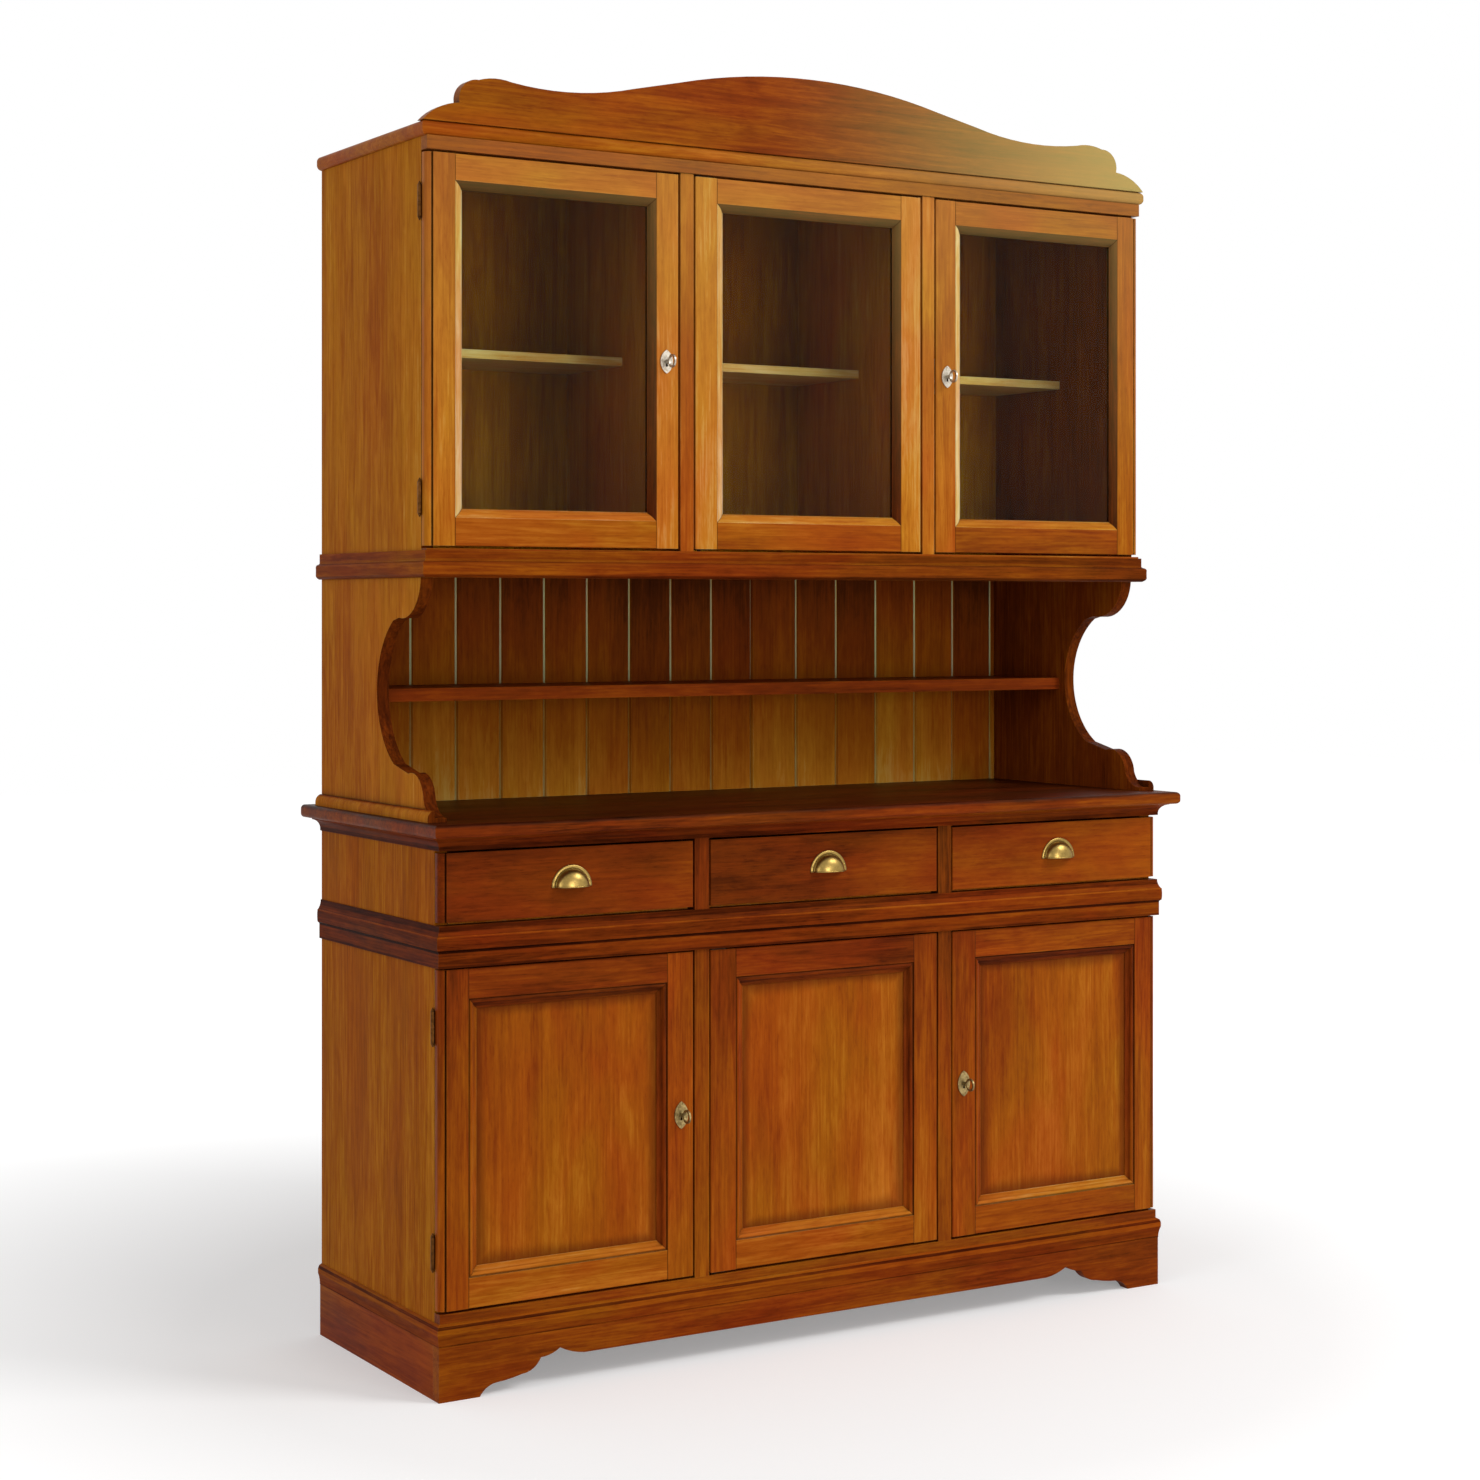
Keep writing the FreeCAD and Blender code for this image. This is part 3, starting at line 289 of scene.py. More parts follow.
def stain(name, run, tone, slope=(0, 0), figure=1.0, clouded=0.26, glaze_and_shade=0.8, dark_edge=0.0,
          green=1.0, patchy=0.18, painted_sheen=0.0, painted_sheen_from=-1400.0, waxed=0.06):
    """Cherry for one CAD node. A satin wax sheen, brown streaks 4 to 30 mm wide along the grain, a
    mottled figure, flecks of darker pores, a near-black glazing with painted shade in the corners, and
    edges made paler partly by wear and partly by a painted highlight.

    tone: 0 is the darkest stain, 1 the palest. slope: its change per metre along x and z.
    figure, clouded, glaze_and_shade: how strong the streaks, the clouds and the dark glazing with its
    painted shade are. dark_edge: how dark a panel's glazing and painted shade are along its moulding.
    green: more than 1 where the stain is more olive, and it varies by patchy. painted_sheen: how strong
    a pale painted sheen is at the top right corner, less downwards, backwards and to the left as far as
    painted_sheen_from. waxed: the wax's specular level."""
    low, high = in_mm(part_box(name))
    middle = [(a + b) / 2 for a, b in zip(low, high)]
    material, tree = finish("cherry_" + name)
    coordinates = add(tree, "ShaderNodeTexCoord")
    place = add(tree, "ShaderNodeVectorMath", {0: coordinates.outputs["Object"], "Scale": 1000.0},
                operation="SCALE")
    xyz = tuple(add(tree, "ShaderNodeSeparateXYZ", {0: place}).outputs)
    grain, board, shade, seam = run(tree, xyz)

    # each board comes from elsewhere in the tree, up to 900 mm away, and each piece from farther off
    pick = add(tree, "ShaderNodeTexWhiteNoise", {"W": board}, noise_dimensions="1D")
    shift = add(tree, "ShaderNodeVectorMath", {0: pick.outputs["Color"], "Scale": 900.0},
                operation="SCALE")
    shift = add(tree, "ShaderNodeVectorMath", {0: shift, 1: (sum(map(ord, name)) * 37.0, 0, 0)},
                operation="ADD")
    grain = add(tree, "ShaderNodeVectorMath", {0: grain, 1: shift}, operation="ADD")

    def streaks(width, length, detail, bent=0.0):
        """Noise in streaks of this width and length in millimetres."""
        long = add(tree, "ShaderNodeVectorMath", {0: grain, 1: (1, 1, width / length)},
                   operation="MULTIPLY")
        return add(tree, "ShaderNodeTexNoise", {
            "Vector": long, "Scale": 1 / width, "Detail": detail, "Roughness": 0.6,
            "Distortion": bent})

    broad = streaks(34, 520, 3, 0.5)
    fine = streaks(4.2, 150, 3)
    mottle = streaks(11, 42, 2, 0.4)
    # real pores are 0.1 mm wide; these are drawn coarser so that they show
    pores = streaks(1.5, 16, 1)
    cloud = streaks(190, 420, 2, 0.3)
    rings = add(tree, "ShaderNodeMath", {0: broad, 1: 9.0}, operation="MULTIPLY")
    rings = add(tree, "ShaderNodeMath", {0: rings, 1: 0.5}, operation="PINGPONG")
    pores = add(tree, "ShaderNodeMapRange", {"Value": pores, "From Min": 0.58, "From Max": 0.74})

    # the tone: what is asked for in the middle of the piece, and the figure's ups and downs
    shares = ((broad, 0.34 * figure), (rings, 0.12 * figure), (fine, 0.30 * figure), (mottle, 0.17),
              (cloud, clouded), (pick.outputs["Value"], 0.07))
    mean = sum(share * (0.25 if part is rings else 0.5) for part, share in shares)
    start = tone - (middle[0] * slope[0] + middle[2] * slope[1]) / 1000 - mean
    lean = add(tree, "ShaderNodeVectorMath",
               {0: place, 1: (slope[0] / 1000, 0, slope[1] / 1000)}, operation="DOT_PRODUCT")
    depth = add(tree, "ShaderNodeMath", {0: lean.outputs["Value"], 1: start}, operation="ADD")
    depth = add(tree, "ShaderNodeMath", {0: depth, 1: shade}, operation="ADD")
    for part, share in shares + ((pores, -0.06),):
        depth = add(tree, "ShaderNodeMath", {0: part, 1: share, 2: depth}, operation="MULTIPLY_ADD")
    # edges are worn round over 1.6 mm
    rounded = add(tree, "ShaderNodeBevel", {"Radius": 0.0016}, samples=3)
    # and paler there, partly from wear and partly as a painted highlight
    depth = add(tree, "ShaderNodeMath", {0: depth, 1: worn_and_lit_edges(tree, rounded)}, operation="ADD")

    # the stain has aged to orange in some patches and to olive in others
    patch = streaks(110, 330, 2, 0.4)
    patch = add(tree, "ShaderNodeMapRange", {
        "Value": patch, "From Min": 0.34, "From Max": 0.66, "To Min": green * (1 - patchy),
        "To Max": green * (1 + patchy)})
    patch = add(tree, "ShaderNodeCombineXYZ", {"X": 1.0, "Y": patch, "Z": 1.0})
    tint = add(tree, "ShaderNodeVectorMath", {0: stain_colour(tree, depth), 1: patch},
               operation="MULTIPLY")
    # a pale painted sheen at the top right
    if painted_sheen:
        tint = with_painted_sheen(tree, tint, xyz, painted_sheen, painted_sheen_from)
    # a panel's glazing with painted shade along its moulding
    if dark_edge:
        near = panel_edge(tree, xyz, low, high, cloud)
        near = add(tree, "ShaderNodeMath", {0: near, 1: dark_edge}, operation="MULTIPLY")
        tint = add(tree, "ShaderNodeMix", {0: near, 6: tint, 7: linear(EDGE_GLAZE_AND_SHADE)},
                   data_type="RGBA").outputs[2]

    height = add(tree, "ShaderNodeMath", {0: pores, 1: -0.8, 2: fine}, operation="MULTIPLY_ADD")
    relief = add(tree, "ShaderNodeBump", {"Strength": 0.25, "Distance": 0.0002, "Height": height,
                                          "Normal": rounded})
    sheen = add(tree, "ShaderNodeMapRange", {"Value": cloud, "From Min": 0.3, "From Max": 0.7,
                                             "To Min": 0.36, "To Max": 0.50})
    wax = add(tree, "ShaderNodeBsdfPrincipled", {
        "Base Color": glazed_and_shaded(tree, tint, seam, glaze_and_shade), "Roughness": sheen,
        "Specular IOR Level": waxed, "Specular Tint": linear("#E8A850"), "Normal": relief})
    add(tree, "ShaderNodeOutputMaterial", {"Surface": wax})
    dress(name, material)


stain("plinth", cornered(716, -217, mitred=False), 0.37, slope=(-0.09, 0), clouded=0.4, glaze_and_shade=0.6,
      waxed=0.04)


# ---------------------------------------------------------------- base mouldings
# Strips worked to a profile with a plane, planted on the carcass and mitred at the front corners.

def lit_and_shaded_bands(run, bands):
    """The same grain, with painted highlight and painted shade in bands across the profile: (low, high,
    how much paler), in millimetres above the floor."""
    def marked(tree, place):
        grain, member, shade, seam = run(tree, place)
        for low, high, more in bands:
            inside = add(tree, "ShaderNodeMath", {0: place[2], 1: (low + high) / 2, 2: (high - low) / 2},
                         operation="COMPARE")
            shade = add(tree, "ShaderNodeMath", {0: inside, 1: more, 2: shade}, operation="MULTIPLY_ADD")
        return grain, member, shade, seam

    return marked


# painted highlight and shade across each moulding's profile, where it faces the light or away from it
PLINTH_BANDS = ((121, 124.1, 0.12), (116, 121, -0.16), (108, 116, 0.10), (87, 90, -0.16))
BELT_BANDS = ((748, 757.1, -0.12), (738, 741, 0.12), (714, 719, -0.24), (706, 713, 0.05),
              (690, 694, -0.10))
COVE_BANDS = ((876, 884, -0.10), (894, 899, 0.06))
round_base = cornered(735, -236, mitred=True)
stain("plinth_moulding", lit_and_shaded_bands(round_base, PLINTH_BANDS), 0.38, green=1.1, waxed=0.015)
stain("belt_moulding", lit_and_shaded_bands(round_base, BELT_BANDS), 0.31, slope=(0.08, 0), waxed=0.015)
stain("cove_moulding", lit_and_shaded_bands(round_base, COVE_BANDS), 0.33, slope=(0.06, 0), waxed=0.015)


# ---------------------------------------------------------------- base carcass
# Sides, floor, deck, dividers and shelves of solid boards, housed into each other and glued.

SIDES = ("left", "right")
for side in SIDES:
    stain(f"base_side_{side}", straight("z"), 0.52, slope=(0, -0.08), green=1.20, patchy=0.08,
          waxed=0.008)
for name, tone in (("base_floor", 0.42), ("drawer_deck", 0.42), ("base_shelves", 0.44)):
    stain(name, straight("x"), tone)
for name in ("base_back", "base_dividers"):
    stain(name, straight("z"), 0.40)


# ---------------------------------------------------------------- face frames
# Rails across the whole width with short posts tenoned between them, flush at the front.

def railed(rails, shade):
    """Posts between rails: grain runs across at the heights (low, high) of the rails, which are
    darker than the posts by this shade."""
    def run(tree, place):
        x, z = place[0], place[2]
        across, number = 0.0, 0.0
        for low, high in rails:
            inside = add(tree, "ShaderNodeMath", {0: z, 1: (low + high) / 2, 2: (high - low) / 2},
                         operation="COMPARE")
            across = add(tree, "ShaderNodeMath", {0: inside, 1: across}, operation="ADD")
            number = add(tree, "ShaderNodeMath", {0: inside, 1: low, 2: number},
                         operation="MULTIPLY_ADD")
        side = add(tree, "ShaderNodeMath", {0: x}, operation="SIGN")
        post = add(tree, "ShaderNodeMath", {0: across, 1: 1.0}, operation="LESS_THAN")
        number = add(tree, "ShaderNodeMath", {0: side, 1: post, 2: number}, operation="MULTIPLY_ADD")
        grain = add(tree, "ShaderNodeMix", {0: across, 4: laid(tree, "z", place),
                                            5: laid(tree, "x", place)}, data_type="VECTOR")
        darker = add(tree, "ShaderNodeMath", {0: across, 1: -shade}, operation="MULTIPLY")
        return grain, number, darker, None

    return run


BASE_RAILS = ((88, 139), (690, 757), (877, 899))
HUTCH_RAILS = ((1313, 1360), (2002, 2024))
stain("base_face_frame", railed(BASE_RAILS, shade=0.12), 0.41, slope=(0, -0.26), green=1.18)
stain("hutch_face_frame", railed(HUTCH_RAILS, shade=0.17), 0.62, slope=(0.04, 0), green=1.08,
      painted_sheen=0.14, painted_sheen_from=-3000.0)


# ---------------------------------------------------------------- worktop
# One wide board glued up from three, its front and ends rounded with a moulding plane.

def top_face_shaded(tree, place):
    """Grain along the worktop, whose upper face is painted darker, as shade."""
    upper = add(tree, "ShaderNodeMapRange", {"Value": place[2], "From Min": 914.0,
                                             "From Max": 920.0, "To Min": 0.0, "To Max": -0.21})
    return laid(tree, "x", place), 0.5, upper, None


stain("base_top", top_face_shaded, 0.29, slope=(0.05, 0), figure=1.2, green=1.1)


# ---------------------------------------------------------------- hutch
# Scrolled sides cut from wide boards, shelves housed between them, and a thin back.

def shaded_inside_and_edges(tree, place):
    """Upright grain. Painted shade: the inner face is painted darker than the outer one, the edges
    darker still.
    """
    facing = add(tree, "ShaderNodeNewGeometry")
    across = add(tree, "ShaderNodeSeparateXYZ", {0: facing.outputs["Normal"]})
    side = add(tree, "ShaderNodeMath", {0: place[0]}, operation="SIGN")
    outward = add(tree, "ShaderNodeMath", {0: across, 1: side}, operation="MULTIPLY")
    inner = add(tree, "ShaderNodeMapRange", {"Value": outward, "From Min": -0.3, "From Max": -0.7,
                                             "To Min": 0.0, "To Max": -0.24})
    flat = add(tree, "ShaderNodeMath", {0: outward}, operation="ABSOLUTE")
    edge = add(tree, "ShaderNodeMapRange", {"Value": flat, "From Min": 0.3, "From Max": 0.7,
                                            "To Min": -0.40, "To Max": 0.0})
    shade = add(tree, "ShaderNodeMath", {0: inner, 1: edge}, operation="ADD")
    return laid(tree, "z", place), 0.5, shade, None


def back_board(tree, place):
    """Upright grain. The face towards the wall was never wiped and is darker."""
    rear = add(tree, "ShaderNodeMath", {0: place[1], 1: 240.0}, operation="GREATER_THAN")
    rear = add(tree, "ShaderNodeMath", {0: rear, 1: -0.13}, operation="MULTIPLY")
    return laid(tree, "z", place), 0.5, rear, None


for side in SIDES:
    stain(f"hutch_side_{side}", shaded_inside_and_edges, 0.58, green=1.18, patchy=0.08, waxed=0.008)
stain("hutch_floor", straight("x"), 0.42)
# the shelf in the upper cupboard is much paler than the open one below it, partly as a painted glare
stain("hutch_shelves", straight("x"), 0.61, slope=(0, 1.1), green=0.95, patchy=0.08)
stain("hutch_back", back_board, 0.47, slope=(-0.05, -0.3), green=1.45, patchy=0.08)
stain("hutch_dividers", straight("z"), 0.62)


def matchboards(tree, place):
    """Upright boards: narrow ones left of the widest, and wide ones right of it, each with its own tone.
    A joint shows paler: unstained wood where two boards have shrunk, and a painted highlight on it."""
    widest, narrow, wide = (136, 237), 88.4, 92.6
    far = 1000.0
    number, seam = 0.0, far
    for edge, width, bound in ((widest[0], narrow, "MINIMUM"), (widest[1], wide, "MAXIMUM")):
        past = add(tree, "ShaderNodeMath", {0: place[0], 1: edge}, operation="SUBTRACT")
        past = add(tree, "ShaderNodeMath", {0: past, 1: width}, operation="DIVIDE")
        past = add(tree, "ShaderNodeMath", {0: past, 1: 0.0}, operation=bound)
        number = add(tree, "ShaderNodeMath", {0: past, 1: number}, operation="ADD")
        off = add(tree, "ShaderNodeMath", {0: past, 1: 0.5}, operation="PINGPONG")
        off = add(tree, "ShaderNodeMath", {0: off, 1: width}, operation="MULTIPLY")
        on = add(tree, "ShaderNodeMath", {0: past, 1: 0.0, 2: 0.0001}, operation="COMPARE")
        off = add(tree, "ShaderNodeMath", {0: on, 1: far, 2: off}, operation="MULTIPLY_ADD")
        seam = add(tree, "ShaderNodeMath", {0: off, 1: seam}, operation="MINIMUM")
    number = add(tree, "ShaderNodeMath", {0: number}, operation="FLOOR")
    # the pale joints, with their painted highlight, show more above the display shelf, and not at all
    # from behind
    gap = add(tree, "ShaderNodeMapRange", {"Value": place[2], "From Min": 1100.0,
                                           "From Max": 1140.0, "To Min": 0.22, "To Max": 0.90})
    bare_and_lit = add(tree, "ShaderNodeMapRange", {"Value": seam, "From Min": 1.3, "From Max": 2.6,
                                            "To Min": gap, "To Max": 0.0})
    front = add(tree, "ShaderNodeMath", {0: place[1], 1: 243.0}, operation="LESS_THAN")
    bare_and_lit = add(tree, "ShaderNodeMath", {0: bare_and_lit, 1: front}, operation="MULTIPLY")
    other = add(tree, "ShaderNodeTexWhiteNoise", {"W": number}, noise_dimensions="1D")
    shade = add(tree, "ShaderNodeMath", {0: other.outputs["Value"], 1: 0.12, 2: bare_and_lit},
                operation="MULTIPLY_ADD")
    return laid(tree, "z", place), number, shade, None


# darker towards the top: painted shade under the hutch above the display space
stain("matchboard_back", matchboards, 0.39, slope=(0, -1.2), figure=0.7, clouded=0.15, glaze_and_shade=0.4,
      green=1.18, patchy=0.10)
WAIST_BANDS = ((1340, 1344, 0.10), (1313, 1318, -0.12))
stain("waist_moulding", lit_and_shaded_bands(cornered(735, -186, mitred=True), WAIST_BANDS), 0.34,
      slope=(-0.12, 0), green=1.15, waxed=0.015)
# the hutch top and the pediment carry the strongest painted sheen, at their right ends
stain("hutch_top", straight("x"), 0.48, slope=(-0.04, 0), green=1.12, painted_sheen=0.44, painted_sheen_from=-400.0)
stain("pediment", straight("x"), 0.34, slope=(-0.10, 0), green=1.16, painted_sheen=0.68, painted_sheen_from=-150.0)


# ---------------------------------------------------------------- doors
# Stiles and rails jointed at the corners, with mitred mouldings holding a panel or a pane.

def framed(low, high, shades, beads):
    """Grain round an opening: up the stiles and the upright mouldings, along the others. The
    shades are how much paler each side is: left, right, bottom and top. The beads are the same
    for the mouldings inside the frame."""
    centre = ((low[0] + high[0]) / 2, (low[2] + high[2]) / 2)
    half = ((high[0] - low[0]) / 2, (high[2] - low[2]) / 2)

    def run(tree, place):
        sides, beyond = [], []
        for axis, at, reach in zip((place[0], place[2]), centre, half):
            off = add(tree, "ShaderNodeMath", {0: axis, 1: at}, operation="SUBTRACT")
            sides.append(add(tree, "ShaderNodeMath", {0: off}, operation="SIGN"))
            off = add(tree, "ShaderNodeMath", {0: off}, operation="ABSOLUTE")
            beyond.append(add(tree, "ShaderNodeMath", {0: off, 1: reach}, operation="SUBTRACT"))
        across, up = beyond
        stile = add(tree, "ShaderNodeMath", {0: across, 1: 0.0}, operation="GREATER_THAN")
        steeper = add(tree, "ShaderNodeMath", {0: across, 1: up}, operation="GREATER_THAN")
        upright = add(tree, "ShaderNodeMath", {0: stile, 1: steeper}, operation="MAXIMUM")
        grain = add(tree, "ShaderNodeMix", {0: upright, 4: laid(tree, "x", place),
                                            5: laid(tree, "z", place)}, data_type="VECTOR")
        # a number for each member: which side it is on, and whether it lies outside the opening
        member = add(tree, "ShaderNodeMix", {0: upright, 2: sides[1], 3: sides[0]}, data_type="FLOAT")
        member = add(tree, "ShaderNodeMath", {0: upright, 1: 3.0, 2: member}, operation="MULTIPLY_ADD")
        outside = add(tree, "ShaderNodeMath", {0: across, 1: up}, operation="MAXIMUM")
        outside = add(tree, "ShaderNodeMath", {0: outside, 1: 0.0}, operation="GREATER_THAN")
        member = add(tree, "ShaderNodeMath", {0: outside, 1: 7.0, 2: member}, operation="MULTIPLY_ADD")
        # how far it is to the shoulder of a rail, or to a moulding's mitre
        shoulder = add(tree, "ShaderNodeMath", {0: across}, operation="ABSOLUTE")
        mitre = add(tree, "ShaderNodeMath", {0: across, 1: up}, operation="SUBTRACT")
        mitre = add(tree, "ShaderNodeMath", {0: mitre}, operation="ABSOLUTE")
        seam = add(tree, "ShaderNodeMix", {0: outside, 2: mitre, 3: shoulder}, data_type="FLOAT")
        paler = []
        for left, right, bottom, top in (beads, shades):
            pair = [add(tree, "ShaderNodeMath", {0: sign, 1: (more - less) / 2, 2: (more + less) / 2},
                        operation="MULTIPLY_ADD")
                    for sign, less, more in zip(sides, (left, bottom), (right, top))]
            paler.append(add(tree, "ShaderNodeMix", {0: upright, 2: pair[1], 3: pair[0]},
                             data_type="FLOAT"))
        shade = add(tree, "ShaderNodeMix", {0: outside, 2: paler[0], 3: paler[1]}, data_type="FLOAT")
        return grain, member, shade, seam

    return run


def panel_edge(tree, place, low, high, cloud):
    """1 at the edge of the panel's visible face, fading to 0 over a few centimetres."""
    covered, widest = 17, 46.0
    inward = []
    for axis in (0, 2):
        off = add(tree, "ShaderNodeMath", {0: place[axis], 1: (low[axis] + high[axis]) / 2},
                  operation="SUBTRACT")
        off = add(tree, "ShaderNodeMath", {0: off}, operation="ABSOLUTE")
        inward.append(add(tree, "ShaderNodeMath", {0: (high[axis] - low[axis]) / 2 - covered, 1: off},
                          operation="SUBTRACT"))
    near = add(tree, "ShaderNodeMath", dict(enumerate(inward)), operation="MINIMUM")
    width = add(tree, "ShaderNodeMath", {0: cloud, 1: widest}, operation="MULTIPLY")
    return add(tree, "ShaderNodeMapRange", {"Value": near, "From Min": 0.0, "From Max": width,
                                            "To Min": 1.0, "To Max": 0.0},
               interpolation_type="SMOOTHSTEP")


# how much paler each stile and rail is (left, right, bottom, top), and the panel's own tone
LOWER = {"left": ((-0.03, 0.03, 0.03, -0.05), 0.48), "mid": ((-0.02, 0.0, -0.03, -0.09), 0.52),
         "right": ((-0.02, 0.0, -0.10, 0.0), 0.47)}
UPPER = {"left": (-0.07, 0.04, -0.20, -0.03), "mid": (0.03, 0.06, -0.20, -0.08),
         "right": (-0.13, -0.14, -0.28, -0.16)}
# the same four for the mouldings round each panel, and round each pane: painted highlight where a
# moulding faces the light, painted shade where it faces away
PANEL_BEADS_LIT_SHADED = (0.0, -0.08, 0.20, -0.16)
PANE_BEADS_LIT_SHADED = (0.24, -0.50, 0.02, -0.54)
# how much larger than a pane the opening between the stiles is, on each side
PANE_ROOM = 7
BAYS = ("left", "mid", "right")
for bay in BAYS:
    low, high = in_mm(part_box(f"lower_panel_{bay}"))
    shades, tone = LOWER[bay]
    stain(f"lower_door_{bay}_frame", framed(low, high, shades, PANEL_BEADS_LIT_SHADED), 0.46, slope=(0, -0.25))
    stain(f"lower_panel_{bay}", straight("z"), tone, slope=(0.20, -0.10), figure=0.8, clouded=0.36,
          dark_edge=0.62, green=1.06)
    low, high = in_mm(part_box(f"glass_{bay}"))
    low = tuple(c - PANE_ROOM for c in low)
    high = tuple(c + PANE_ROOM for c in high)
    stain(f"upper_door_{bay}_frame", framed(low, high, UPPER[bay], PANE_BEADS_LIT_SHADED), 0.68, green=1.06,
          painted_sheen=0.16, painted_sheen_from=-3000.0)


# ---------------------------------------------------------------- glass
# Panes of drawn window glass, 4 mm, faintly green, held in by the glazing beads.

# clear with a green cast, and only a weak reflection; its shadow is as pale as its tint
GLASS_TINT = "#DEE5CE"
glass, tree = finish("drawn_window_glass")
pane = add(tree, "ShaderNodeBsdfPrincipled", {
    "Base Color": linear(GLASS_TINT), "Roughness": 0.02, "Transmission Weight": 1.0, "IOR": 1.14})
clear = add(tree, "ShaderNodeBsdfTransparent", {"Color": linear(GLASS_TINT)})
ray = add(tree, "ShaderNodeLightPath")
both = add(tree, "ShaderNodeMixShader", {0: ray.outputs["Is Shadow Ray"], 1: pane, 2: clear})
add(tree, "ShaderNodeOutputMaterial", {"Surface": both})
for bay in BAYS:
    dress(f"glass_{bay}", glass)


# ---------------------------------------------------------------- hinges, locks and keys
# Cast fittings let into the doors: small barrel hinges gone brown, pivots of blackened steel, and
# mortise locks with brass keys and escutcheons below and nickel-plated ones above.

def metal(name, colour, dull, roughness, nodes=(), hinges=None, spotted=0.7):
    """A cast or plated metal, bright where it is rubbed and dulled by tarnish in its hollows. The
    hinges, the parts more than half a metre off the middle, may have their own two colours."""
    material, tree = finish(name)
    coordinates = add(tree, "ShaderNodeTexCoord")
    # tarnish gathers in cloudy spots about 6 mm across
    spots = add(tree, "ShaderNodeTexNoise", {"Vector": coordinates.outputs["Object"],
                                             "Scale": 1000 / 6, "Detail": 4.0, "Roughness": 0.65})
    grit = add(tree, "ShaderNodeTexNoise", {"Vector": coordinates.outputs["Object"],
                                            "Scale": 1000 / 0.8, "Detail": 2.0})
    open_air = add(tree, "ShaderNodeAmbientOcclusion", {"Distance": 0.006}, samples=6, only_local=True)
    hollow = add(tree, "ShaderNodeMapRange", {"Value": open_air.outputs["AO"], "From Min": 0.95,
                                              "From Max": 0.35, "To Min": 0.0, "To Max": 0.9})
    spotted = add(tree, "ShaderNodeMapRange", {"Value": spots, "From Min": 0.40, "From Max": 0.66,
                                               "To Min": 0.0, "To Max": spotted})
    tarnish = add(tree, "ShaderNodeMath", {0: hollow, 1: spotted}, operation="MAXIMUM")
    bright, dark = linear(colour), linear(dull)
    if hinges:
        xyz = add(tree, "ShaderNodeSeparateXYZ", {0: coordinates.outputs["Object"]})
        off = add(tree, "ShaderNodeMath", {0: xyz.outputs["X"]}, operation="ABSOLUTE")
        far = add(tree, "ShaderNodeMath", {0: off, 1: 0.5}, operation="GREATER_THAN")
        bright, dark = (
            add(tree, "ShaderNodeMix", {0: far, 6: near, 7: linear(code)}, data_type="RGBA").outputs[2]
            for near, code in zip((bright, dark), hinges))
    tint = add(tree, "ShaderNodeMix", {0: tarnish, 6: bright, 7: dark}, data_type="RGBA")
    sheen = add(tree, "ShaderNodeMath", {0: tarnish, 1: 0.25, 2: roughness}, operation="MULTIPLY_ADD")
    rounded = add(tree, "ShaderNodeBevel", {"Radius": 0.0005}, samples=3)
    relief = add(tree, "ShaderNodeBump", {"Strength": 0.15, "Distance": 0.0002, "Height": grit,
                                          "Normal": rounded})
    surface = add(tree, "ShaderNodeBsdfPrincipled", {
        "Base Color": tint.outputs[2], "Metallic": 1.0, "Roughness": sheen, "Normal": relief})
    add(tree, "ShaderNodeOutputMaterial", {"Surface": surface})
    for node in nodes:
        dress(node, material)
    return material


def with_locks(row):
    """The nodes in this row that hold the locks and their keys."""
    return [f"{row}_door_{bay}_hardware" for bay in SIDES] + [f"{row}_key_{bay}" for bay in SIDES]


ROWS = ("lower", "upper")
# the hinges' brass has gone dark brown, and hardly shines
BROWNED = ("#5E3A18", "#2A1608")
browned = metal("brass_browned", *BROWNED, 0.45, ["carcass_hinge_halves"])
# the lower locks' brass is a dull straw yellow, and brown in its hollows
brass = metal("brass_aged", "#A08A5C", "#4A3A1C", 0.40, with_locks("lower"), BROWNED)
# the upper locks' nickel plate is warm grey and brighter, with brownish spots
nickel = metal("nickel_plate", "#C4BBAC", "#6A5A44", 0.33, with_locks("upper"), BROWNED)
# the pivots' steel is nearly black, and the bolts' is bright grey
metal("steel_blackened", "#3A2A20", "#1C120C", 0.50, [f"{row}_door_mid_hardware" for row in ROWS])
metal("lock_steel", "#9A9A9A", "#4A4744", 0.35, [f"{row}_bolt_{bay}" for row in ROWS for bay in SIDES])


def small_part(name, **sizes):
    """A node tree with a named input for each size, and its input node."""
    tree = bpy.data.node_groups.new(name, "GeometryNodeTree")
    tree.is_modifier = True
    tree.interface.new_socket("Spots", in_out="INPUT", socket_type="NodeSocketGeometry")
    for label, size in sizes.items():
        socket = tree.interface.new_socket(label, in_out="INPUT", socket_type="NodeSocketFloat")
        socket.default_value = size
    tree.interface.new_socket("Facing", in_out="INPUT", socket_type="NodeSocketVector")
    tree.interface.new_socket("Metal", in_out="INPUT", socket_type="NodeSocketMaterial")
    tree.interface.new_socket("Parts", in_out="OUTPUT", socket_type="NodeSocketGeometry")
    return tree, add(tree, "NodeGroupInput")


